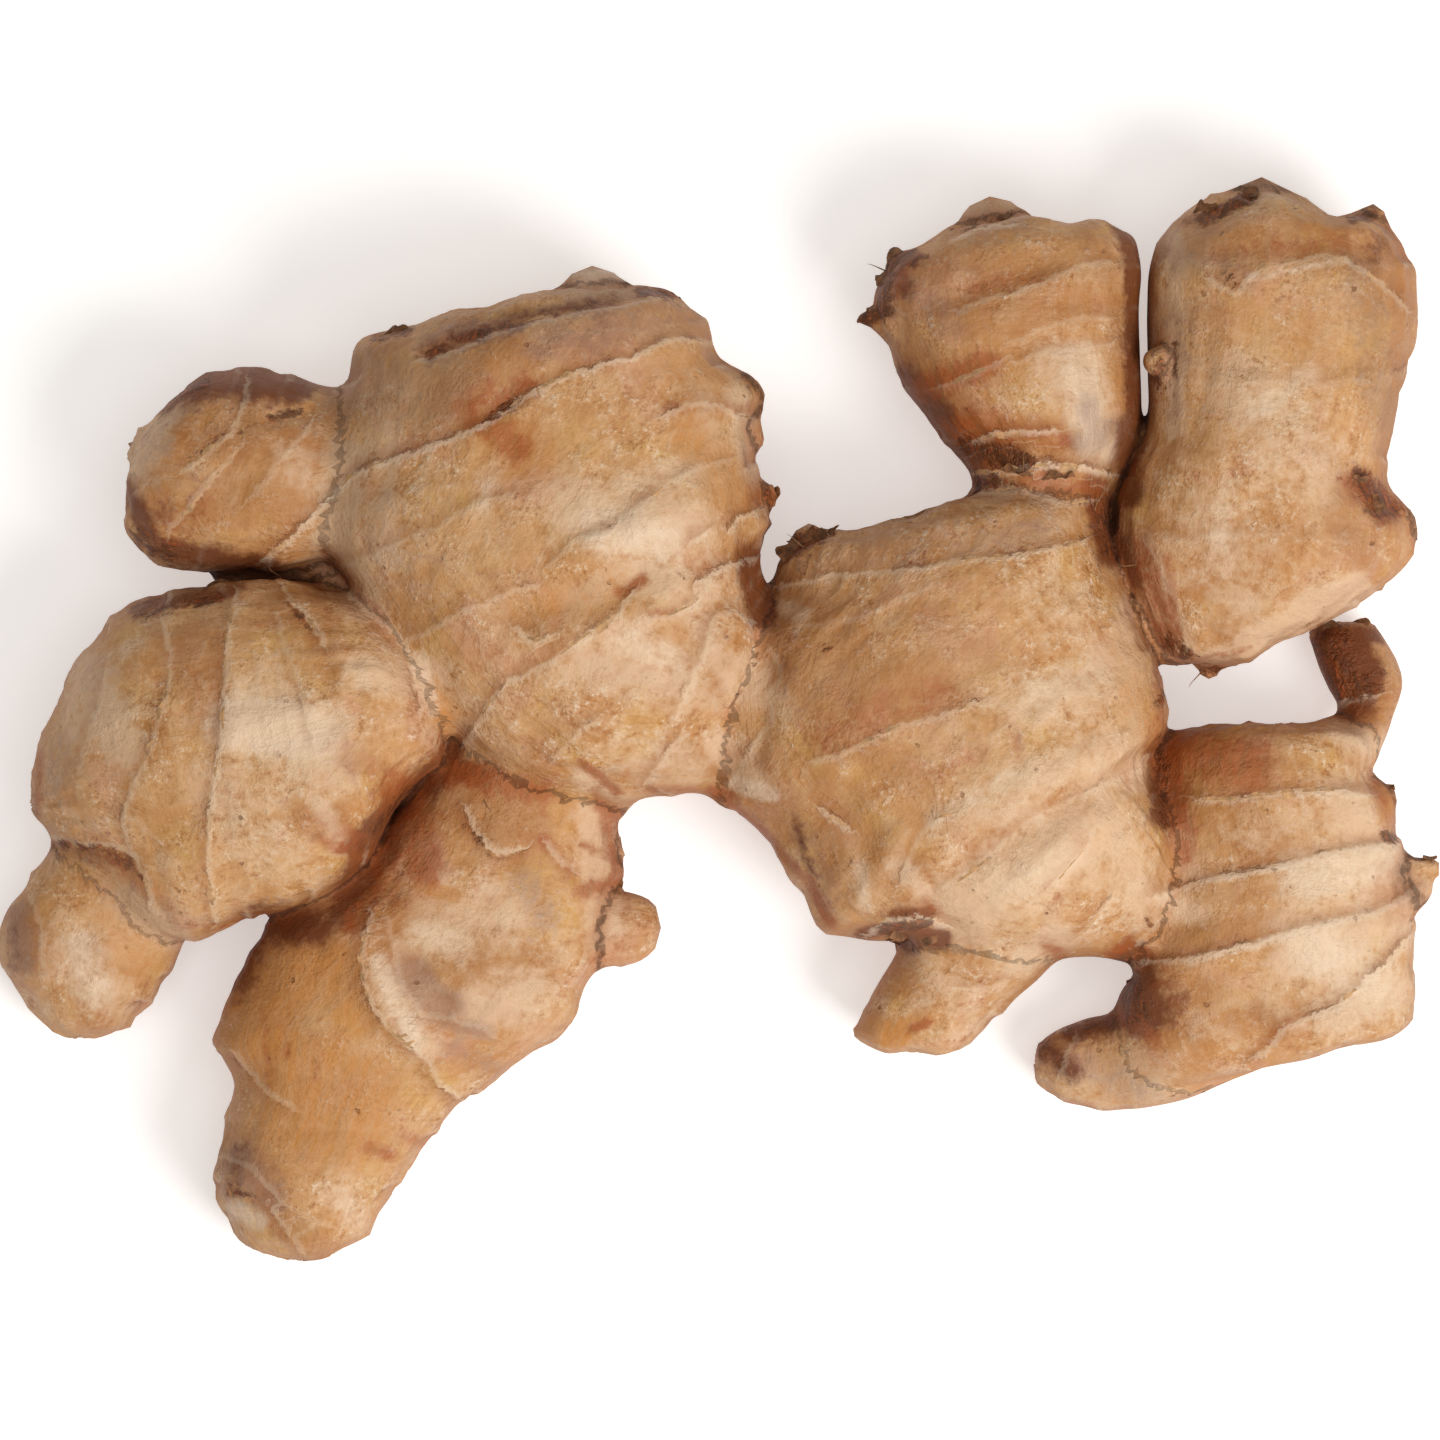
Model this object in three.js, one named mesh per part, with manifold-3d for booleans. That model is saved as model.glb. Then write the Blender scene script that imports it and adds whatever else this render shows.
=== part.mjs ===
// A fresh ginger rhizome lying on its side: one solid, in millimetres, +Z up.
//
// It grew as a chain of swollen segments. Each segment, here a lobe, is lofted through sections that
// lie along its own growth rings, so the rings, the outline and the bends come from the same rows.
// At each ring the older band of skin stands proud of the younger one, and the surface steps in.
// All the lobes, buds and root stubs are joined into one body, and low spots of it are flat at Z = 0.
import * as THREE from "three";
import { mergeVertices } from "three/addons/utils/BufferGeometryUtils.js";
import Module from "manifold-3d";

const wasm = await Module();
wasm.setup();

// ---- Driving dimensions --------------------------------------------------------------------------
const RING_STEP = 0.75; // how far an old band of skin stands proud of the next
const RING_WAVE = 0.45; // how far a ring wanders along the lobe
const RING_SLOPE = 0.13; // length of the step down, in rows
const LUMP = 0.55; // slow swellings of the surface
const SQUARENESS = 2.25; // exponent of the section: 2 is an ellipse, more is fuller
const CAP_FULLNESS = 0.72; // below 1 the ends are blunter than a half ellipse
const CAP_STEPS = 3; // sections in each rounded end
const SKIN_COLOUR = 0xb98d5c;
const SKIN_ROUGHNESS = 0.72;

// ---- The lobes -----------------------------------------------------------------------------------
// A row is one section: [ax, ay, bx, by, z, h]. Points a and b are its two ends in plan, z is the
// height of its middle and h is half its thickness. Rows run from the lobe's base to its tip.
// rings are places along the rows, in rows, where a band of skin ends. caps are the lengths of the
// rounded ends beyond the first and last row.
const LOBES = {
  left_mother: {
    rows: [
      [9, -6, 10, 12, 18, 8],
      [1, -8.6, 7, 15, 18.5, 11],
      [-6, -9.4, 5.9, 17, 19.2, 14],
      [-14, -9.8, 5.2, 19.5, 20, 16.5],
      [-24, -8, 5.2, 22, 20.3, 18],
      [-32, -2.5, 5.4, 25, 20.3, 19.5],
      [-39.5, 6, 5, 28.5, 20.2, 20.2],
      [-46, 15.5, 4.5, 32.5, 20.2, 20.2],
      [-49.5, 23, 4.4, 36.5, 20.5, 18.8],
      [-48.5, 28.5, 5, 40.6, 20.6, 18],
      [-47.2, 34, 1, 45.4, 20.8, 17.2],
      [-46.6, 40.6, -1.2, 48.8, 21, 16.2],
      [-45.6, 46.2, -3.2, 52, 21, 13.8],
      [-41.5, 48.9, -8, 53.9, 21, 10.4],
    ],
    rings: [2.2, 3.1, 4.35, 5.6, 6.9, 8.3, 9.8, 11.3],
    caps: [4, 1.2],
    sectors: 24,
  },
  left_palm: {
    rows: [
      [-39.6, 10.6, -36.4, -6.6, 21, 13.6],
      [-44, 14.6, -40.4, -10.4, 20.8, 16],
      [-50, 17, -45.6, -18.6, 20.6, 17.2],
      [-56, 17.9, -52, -22.8, 20, 17.7],
      [-62, 17.7, -59, -24.1, 19.3, 17.7],
      [-68, 16.9, -66, -26.8, 18.5, 17.1],
      [-74, 14.8, -71, -25.5, 17.3, 15.8],
      [-80, 9, -76, -21, 16, 13.8],
      [-83, 1.9, -80, -17.5, 14.8, 11.2],
      [-86, -5.8, -84, -13.8, 14, 8],
    ],
    rings: [1.8, 2.9, 4, 5.2, 6.4, 7.5],
    caps: [3.2, 1],
    sectors: 24,
  },
  left_tip: {
    rows: [
      [-80, -8, -66, -14, 12, 7.5],
      [-83.2, -14.4, -66.5, -22, 11, 8.6],
      [-85.6, -18.4, -67.2, -28.4, 10.3, 9.2],
      [-89.4, -23.8, -69.4, -32.2, 9.6, 9.8],
      [-89.7, -29.8, -71, -34.9, 9.3, 9.6],
      [-87.6, -35, -73.4, -37.4, 9.2, 8.2],
    ],
    rings: [1.4, 3, 4.3],
    caps: [2, 3.2],
    sectors: 16,
  },
  left_knob: {
    rows: [
      [-40, 36, -49, 20, 17, 9],
      [-47.5, 41.2, -55, 18.2, 16.5, 11.5],
      [-53, 42.6, -64, 17.9, 16, 12.6],
      [-58.5, 44, -70.4, 19, 15.6, 12.6],
      [-64, 43.6, -74, 22.6, 15.2, 11.6],
      [-69, 40.1, -74.6, 27.5, 14.9, 9],
      [-72.2, 36.6, -74.4, 32, 14.7, 5],
    ],
    rings: [1.1, 2.2, 3.3, 4.4],
    caps: [2, 0.8],
    sectors: 22,
  },
  lower_finger: {
    rows: [
      [-32, 2, -9, -2, 14, 9.5],
      [-37, -6, -12.8, -11, 13.5, 11.5],
      [-42, -12.5, -12.6, -18, 13, 12.6],
      [-48, -19.5, -14.5, -27, 12.9, 12.9],
      [-56.6, -25.2, -17, -34, 12.9, 13.1],
      [-60.6, -32, -20.5, -39.3, 12.7, 13.3],
      [-63.4, -38.5, -27, -43.7, 12.3, 12.6],
      [-61.2, -44.5, -33.3, -48.4, 11.8, 11.8],
      [-62, -51, -36.6, -52.6, 11.5, 11.4],
      [-63.2, -57, -40.4, -57.8, 11.2, 11.2],
      [-61.6, -62.4, -43.4, -62.8, 11, 9.6],
    ],
    rings: [1.7, 3.1, 4.6, 6.6, 7.9, 9.2],
    caps: [3, 4.8],
    sectors: 22,
  },
  right_mother: {
    rows: [
      [51, -30, 57, -18, 16, 8],
      [45, -29.4, 56, -13, 17.4, 12],
      [37, -29.6, 54.3, -8, 18.3, 15],
      [27, -27.8, 54.1, -4, 18.7, 17],
      [16.6, -27.6, 56.2, 0, 18.8, 18.2],
      [11.4, -24.4, 55.6, 4.4, 18.8, 18.9],
      [6.6, -16, 53.8, 9, 18.8, 19.3],
      [1, -9.6, 52, 12.5, 18.8, 19.2],
      [-1, 1, 50.3, 16.6, 18.8, 18.6],
      [1.5, 9, 48.9, 20.4, 18.8, 17.4],
      [6, 14.5, 47.6, 24.2, 18.8, 15.6],
      [6.8, 20.2, 46, 27.6, 18.8, 13],
      [11, 22.6, 41, 28.4, 18.8, 10],
    ],
    rings: [1.9, 3.1, 4.6, 6, 7.3, 8.7, 10.2],
    caps: [2, 1.2],
    sectors: 24,
  },
  lower_nub: {
    rows: [
      [28, -16, 46, -22, 15, 9],
      [23.6, -25.4, 42.4, -29.8, 14, 10.5],
      [21.8, -29.8, 38.4, -33.4, 12.8, 10],
      [18.9, -34.8, 34.7, -37.2, 11.6, 9.2],
      [16.8, -38.6, 31.6, -40.3, 10.8, 7.6],
    ],
    rings: [1.7, 2.9],
    caps: [2, 1.6],
    sectors: 16,
  },
  upper_finger: {
    rows: [
      [34, 20, 48, 20, 15.5, 9],
      [32.7, 28.6, 49, 28, 15.6, 10.5],
      [29.7, 33.8, 52, 33.5, 15.7, 12.3],
      [25.7, 38.8, 53, 39, 15.8, 13.4],
      [22.5, 43.8, 52.8, 45, 15.8, 14],
      [20.9, 48.8, 52.4, 50.8, 15.8, 14.2],
      [20.2, 53.5, 52.8, 56, 15.8, 13.6],
      [22.2, 57.9, 51.6, 60.2, 16, 11.6],
      [27.6, 61.3, 49.4, 62, 16.2, 8.6],
    ],
    rings: [1.2, 2.4, 3.7, 5, 6.2],
    caps: [2, 0.8],
    sectors: 24,
  },
  right_finger: {
    rows: [
      [55.4, 9.2, 66, 8.4, 15.5, 8],
      [52.8, 13.5, 76.4, 12.8, 15.6, 12],
      [50.3, 19, 84.6, 18.4, 15.6, 14.6],
      [49.3, 25, 86.2, 24.4, 15.6, 15.5],
      [50.9, 31, 83.2, 31, 15.7, 15.8],
      [53.2, 37, 83.9, 37, 15.9, 16],
      [53.6, 44, 85.8, 44, 16.1, 16],
      [53.8, 51, 86.9, 51, 16.4, 15.7],
      [53.8, 57, 86.6, 57, 16.7, 14.8],
      [56.6, 61.8, 84.2, 61.4, 17, 12.2],
      [61.2, 65, 74, 64.6, 17.4, 8],
    ],
    rings: [1.3, 2.7, 4.3, 6, 8.05],
    caps: [2.4, 0.9],
    sectors: 22,
  },
  right_neck: {
    rows: [
      [44, 4, 44, 15, 13.5, 7],
      [51, 6, 51, 18, 13.5, 7.5],
      [58, 8, 54, 27, 12.5, 8],
    ],
    rings: [],
    caps: [3, 3],
    sectors: 12,
  },
  far_lobe: {
    rows: [
      [57, -45.6, 79.6, -39.8, 12.5, 9],
      [51.6, -42.9, 87, -37, 12.6, 11.6],
      [49.4, -36.6, 86.3, -30, 12.8, 12.8],
      [51, -31.2, 86.1, -25.2, 13, 13.3],
      [53.5, -25.8, 85.6, -20.3, 13.2, 13.4],
      [53.5, -19.3, 84.8, -15.3, 13.4, 13.2],
      [53, -12, 84, -10.3, 13.6, 12.6],
      [53.7, -6.4, 82, -5.8, 13.8, 11.4],
      [55.4, -2.4, 81.4, -1.6, 14, 9],
      [60, -1.1, 78, -0.5, 14, 6.4],
    ],
    rings: [1.7, 3.1, 5.0, 6.55],
    caps: [0.8, 0.4],
    sectors: 22,
  },
  far_tip: {
    rows: [
      [60, -36, 60, -46, 9, 6.5],
      [52, -36, 54.5, -48.2, 7.6, 6.6],
      [46.6, -37, 48.5, -48.8, 6.9, 6.2],
      [42.6, -38.3, 43.3, -47.8, 6.4, 5.5],
      [40, -40.2, 40.2, -45.9, 6, 3.6],
    ],
    rings: [1.4, 2.4, 3.3],
    caps: [2, 1],
    sectors: 16,
  },
  far_stub: {
    rows: [
      [76, -7, 80.4, -8, 11, 4.5],
      [77.8, 0.3, 83.7, 0.2, 9, 4.4],
      [76.2, 4.2, 85.3, 4.2, 7.6, 4.6],
      [74.8, 7.7, 83.9, 8.4, 6.6, 4.5],
      [73.7, 11, 82.3, 12, 5.8, 3.7],
    ],
    rings: [1.4, 2.6],
    caps: [2, 1],
    sectors: 12,
  },
};

// Buds, root stubs, dry spikes and the small mounds of the end scars. Each runs from a point inside
// its lobe to its own tip: [x0, y0, z0, x1, y1, z1, radius at the root, radius near the tip].
const BUDS = [
  [-15.6, 45, 22, -15.8, 52.2, 22, 8, 4.2],
  [-8, 46, 20, -7, 52.4, 20, 5, 1.8],
  [2, 36, 22, 3, 40.6, 22, 4.5, 2.8],
  [1, 28, 21, 5.6, 27.9, 22, 2.6, 1.5],
  [1.4, 6, 30, 1.6, 10.4, 30.5, 3.4, 2.6],
  [-20, -26, 14, -12.2, -26, 13.5, 5.2, 4.6],
  [-17, -17, 14, -13.8, -16, 14, 4, 2],
  [34, 55, 17, 33.8, 61.4, 17, 10, 3.8],
  [26, 55, 17, 22, 56.6, 17, 3.4, 2],
  [25, 52, 17, 18, 50, 16.5, 1.8, 0.6],
  [67, 57, 18, 67.4, 64, 18, 10, 3.6],
  [81, 58, 17, 81.4, 62.2, 17, 4.4, 2.2],
  [58, 44.6, 21, 54.4, 44.6, 25, 2.6, 1.7],
  [79, 24, 16, 85.6, 24, 17, 6, 2],
  [61.5, 10, 14, 61.2, 6.4, 14, 2.4, 1.2],
  [57, 12, 13, 56.6, 7.6, 13, 3, 1.2],
  [13, 19, 20, 10.6, 22.4, 20, 4.2, 2.2],
  [82, -10, 15, 83.8, -9.2, 16, 3, 0.9],
  [80, -21, 15, 88.6, -18.2, 15, 6.4, 1.2],
  // The low webs of flesh that close the crevices between neighbouring lobes.
  [-47, 24, 12, -60, 17.4, 12, 7, 2.4],
  [46, 16, 12, 52, 34, 13.5, 6, 4],
];
const BUD_SECTORS = 7;

// ---- Lofting -------------------------------------------------------------------------------------
// One number between two neighbours, on the smooth curve through the column of rows.
function columnAt(rows, column, t) {
  const i = Math.min(Math.max(Math.floor(t), 0), rows.length - 2);
  const f = t - i;
  const [p0, p1, p2, p3] = [i - 1, i, i + 1, i + 2].map(
    (k) => rows[Math.min(Math.max(k, 0), rows.length - 1)][column],
  );
  return (
    0.5 *
    (2 * p1 +
      (p2 - p0) * f +
      (2 * p0 - 5 * p1 + 4 * p2 - p3) * f * f +
      (3 * p1 - p0 - 3 * p2 + p3) * f * f * f)
  );
}

// The section of a lobe at t: its middle, its half width as a vector and its half thickness.
function sectionAt(rows, t) {
  const [ax, ay, bx, by, z, h] = [0, 1, 2, 3, 4, 5].map((column) => columnAt(rows, column, t));
  return {
    middle: new THREE.Vector3((ax + bx) / 2, (ay + by) / 2, z),
    half: new THREE.Vector3((bx - ax) / 2, (by - ay) / 2, 0),
    h,
  };
}

// How far the skin stands proud at t, rising through each band to the ring where it ends.
function ringRelief(rings, t, size) {
  const edges = [-1, ...rings, rings.length ? rings[rings.length - 1] + 2 : 1];
  const i = Math.max(edges.findIndex((edge) => t <= edge), 1);
  const share = Math.min(Math.max((t - edges[i - 1]) / (edges[i] - edges[i - 1]), 0), 1);
  return RING_STEP * size * (share * share - 0.4);
}

const signedPower = (value, power) => Math.sign(value) * Math.abs(value) ** power;

// A slow, repeatable swelling round and along a lobe.
const swelling = (seed, t, angle) =>
  LUMP *
  (0.5 * Math.sin(1.3 * t + 2 * angle + seed) +
    0.3 * Math.sin(2.1 * t - 3 * angle + 2.7 * seed) +
    0.2 * Math.sin(0.7 * t + 5 * angle + 4.1 * seed));

// Where the sections go: a pair at each ring, so that its step is sharp, and the rows between.
function stations(rows, rings) {
  const found = new Set(rows.map((_, i) => i));
  for (const ring of rings) {
    for (const near of [...found]) if (Math.abs(near - ring) < 0.4) found.delete(near);
    found.add(ring);
    found.add(ring + RING_SLOPE);
  }
  found.add(0);
  found.add(rows.length - 1);
  return [...found].filter((t) => t >= 0 && t <= rows.length - 1).sort((a, b) => a - b);
}

function lobeGeometry({ rows, rings, caps, sectors }, seed) {
  const last = rows.length - 1;
  const size = Math.min(1, rows[Math.floor(last / 2)][5] / 12);
  const positions = [];
  const outward = (t, step) =>
    sectionAt(rows, t).middle.sub(sectionAt(rows, t + step).middle).normalize();
  const start = outward(0, 0.2);
  const end = outward(last, -0.2);
  const turn = Math.sign(sectionAt(rows, 0).half.clone().cross(start).z);
  const ring = (t, along, shrink) => {
    const { middle, half, h } = sectionAt(rows, t);
    const width = half.length();
    const side = half.clone().normalize();
    for (let k = 0; k < sectors; k++) {
      const angle = (turn * 2 * Math.PI * k) / sectors;
      const wander = RING_WAVE * 0.12 * (Math.sin(3 * angle + seed) + Math.sin(7 * angle - seed));
      const inner = shrink === 1 && t > 0.5 && t < last - 0.5;
      const place = inner ? sectionAt(rows, t + wander) : { middle, half, h };
      const proud = (ringRelief(rings, t, size) + swelling(seed, t, angle) * size) * shrink;
      const reach = (place.half.length() || width) * shrink + proud;
      const rise = place.h * shrink + proud;
      const across = signedPower(Math.cos(angle), 2 / SQUARENESS) * reach;
      const up = signedPower(Math.sin(angle), 2 / SQUARENESS) * rise;
      positions.push(
        place.middle.x + side.x * across + along.x,
        place.middle.y + side.y * across + along.y,
        place.middle.z + up + along.z,
      );
    }
  };
  const capRing = (t, direction, length, share) => {
    const lean = (share * Math.PI) / 2;
    const shrink = Math.cos(lean) ** CAP_FULLNESS;
    ring(t, direction.clone().multiplyScalar(length * Math.sin(lean)), shrink);
  };
  for (let k = CAP_STEPS - 1; k >= 1; k--) capRing(0, start, caps[0], k / CAP_STEPS);
  for (const t of stations(rows, rings)) ring(t, new THREE.Vector3(), 1);
  for (let k = 1; k < CAP_STEPS; k++) capRing(last, end, caps[1], k / CAP_STEPS);
  const first = sectionAt(rows, 0).middle.addScaledVector(start, caps[0]);
  const tip = sectionAt(rows, last).middle.addScaledVector(end, caps[1]);
  return skinOver(positions, sectors, first, tip);
}

// Closes rings of points, listed one after another, with a point at each end.
function skinOver(positions, sectors, first, tip) {
  const count = positions.length / (3 * sectors);
  const firstIndex = count * sectors;
  const tipIndex = firstIndex + 1;
  const index = [];
  for (let k = 0; k < sectors; k++) {
    const next = (k + 1) % sectors;
    index.push(firstIndex, next, k);
    for (let row = 0; row < count - 1; row++) {
      const [a, b, c, d] = [k, next, k + sectors, next + sectors].map((i) => i + row * sectors);
      index.push(a, b, c, b, d, c);
    }
    index.push(tipIndex, k + (count - 1) * sectors, next + (count - 1) * sectors);
  }
  const geometry = new THREE.BufferGeometry();
  const all = new Float32Array([...positions, ...first.toArray(), ...tip.toArray()]);
  geometry.setAttribute("position", new THREE.BufferAttribute(all, 3));
  geometry.setIndex(index);
  return geometry;
}

// A bud or stub: a lathed drop that is wide at its root and rounded at its tip.
function budGeometry([x0, y0, z0, x1, y1, z1, rootRadius, tipRadius]) {
  const from = new THREE.Vector3(x0, y0, z0);
  const along = new THREE.Vector3(x1, y1, z1).sub(from);
  const length = along.length();
  const profile = [
    [0, -rootRadius * 0.6],
    [rootRadius * 0.8, -rootRadius * 0.35],
    [rootRadius, 0],
    [tipRadius, length],
    [tipRadius * 0.7, length + tipRadius * 0.7],
    [0, length + tipRadius],
  ].map(([r, y]) => new THREE.Vector2(r, y));
  const geometry = new THREE.LatheGeometry(profile, BUD_SECTORS);
  const turn = new THREE.Quaternion().setFromUnitVectors(
    new THREE.Vector3(0, 1, 0),
    along.normalize(),
  );
  return geometry.applyQuaternion(turn).translate(x0, y0, z0);
}

// ---- Joining -------------------------------------------------------------------------------------
function solidOf(geometry) {
  const bare = geometry.index ? geometry.clone() : mergeVertices(geometry);
  for (const name of Object.keys(bare.attributes)) {
    if (name !== "position") bare.deleteAttribute(name);
  }
  const merged = mergeVertices(bare, 1e-4);
  const solid = new wasm.Manifold(
    new wasm.Mesh({
      numProp: 3,
      vertProperties: merged.attributes.position.array,
      triVerts: new Uint32Array(merged.index.array),
    }),
  );
  if (solid.volume() <= 0) throw new Error("a lobe is inside out");
  return solid;
}

function geometryOf(solid) {
  const mesh = solid.getMesh();
  const geometry = new THREE.BufferGeometry();
  geometry.setAttribute("position", new THREE.BufferAttribute(mesh.vertProperties, 3));
  geometry.setIndex(new THREE.BufferAttribute(mesh.triVerts, 1));
  geometry.computeVertexNormals();
  return geometry;
}

const UNDERGROUND = new THREE.BoxGeometry(400, 400, 50).translate(0, 0, -25);
let rhizome = null;
Object.values(LOBES).forEach((lobe, i) => {
  const solid = solidOf(lobeGeometry(lobe, 1.7 * i + 0.6));
  rhizome = rhizome ? rhizome.add(solid) : solid;
});
for (const bud of BUDS) rhizome = rhizome.add(solidOf(budGeometry(bud)));
rhizome = rhizome.subtract(solidOf(UNDERGROUND));

const skin = new THREE.MeshStandardMaterial({
  name: "ginger_skin",
  color: SKIN_COLOUR,
  roughness: SKIN_ROUGHNESS,
  metalness: 0,
});
const mesh = new THREE.Mesh(geometryOf(rhizome), skin);
mesh.name = "ginger_rhizome";
const ginger = new THREE.Group();
ginger.add(mesh);

export default ginger;
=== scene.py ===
"""A fresh ginger rhizome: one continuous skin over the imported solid, with papery shreds of dry scale
leaves along the edges of its skin bands and a few fine rootlets, on a pale floor in soft light.

Lengths in the tables are millimetres in the frame's axes, and every mesh is made in metres.
"""

import math

import bpy
import numpy as np
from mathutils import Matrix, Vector
from mathutils.bvhtree import BVHTree
from mathutils.kdtree import KDTree


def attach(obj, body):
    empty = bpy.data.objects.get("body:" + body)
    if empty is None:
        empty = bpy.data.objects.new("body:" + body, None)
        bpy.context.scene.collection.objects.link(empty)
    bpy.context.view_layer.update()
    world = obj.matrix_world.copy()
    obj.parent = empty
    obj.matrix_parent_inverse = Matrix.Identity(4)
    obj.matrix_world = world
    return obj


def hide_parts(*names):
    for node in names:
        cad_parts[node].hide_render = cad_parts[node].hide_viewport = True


bl_info = {
    "name": "Ginger rhizome",
    "version": (1, 0, 0),
    "blender": (4, 5, 0),
    "location": "View3D > Sidebar > Ginger",
    "description": "Builds a fresh ginger rhizome with ringed, papery skin round its solid",
    "category": "Add Mesh",
}

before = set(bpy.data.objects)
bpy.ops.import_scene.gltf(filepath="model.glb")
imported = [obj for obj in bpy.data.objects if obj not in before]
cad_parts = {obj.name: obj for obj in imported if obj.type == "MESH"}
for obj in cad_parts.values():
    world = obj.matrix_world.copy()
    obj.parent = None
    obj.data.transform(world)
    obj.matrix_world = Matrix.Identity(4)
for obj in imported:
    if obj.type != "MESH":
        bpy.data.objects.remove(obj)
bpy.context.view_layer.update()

MM = 0.001
NODE = "ginger_rhizome"
BODY = "root"
SKIN = "rhizome_skin"

FLOOR_HALF_SIDE = 4.0
FLOOR_GAP = 0.1 * MM  # how far the floor lies below the rhizome
CAMERA_HEIGHT = 2.0
CAMERA_LENS = 397.0
CAMERA_SENSOR = 36.0
CAMERA_REACH = 20.0
WORLD_STRENGTH = 0.31
WORLD_COLOUR = (1.0, 0.93, 0.84)
# Lamps: name, place in metres, side, watts, colour.
LAMPS = [
    ("key", (0.56, -0.44, 0.85), 0.5, 8.65, (1.0, 0.995, 0.985)),
    ("overhead", (0.05, -0.02, 1.4), 0.8, 4.5, (1.0, 0.99, 0.97)),
]

# Swells of the relief, as noises added up: [size, share, seed offset].
RING_WAVES = [[13, 1, 0], [4.5, 0.55, 40], [1.7, 0.28, 80]]
RING_STRENGTHS = [[11, 0.55, 0], [3.2, 0.3, 3]]
LUMP_WAVES = [[17, 1, 0], [8, 0.5, 5], [3.6, 0.2, 9]]

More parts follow.
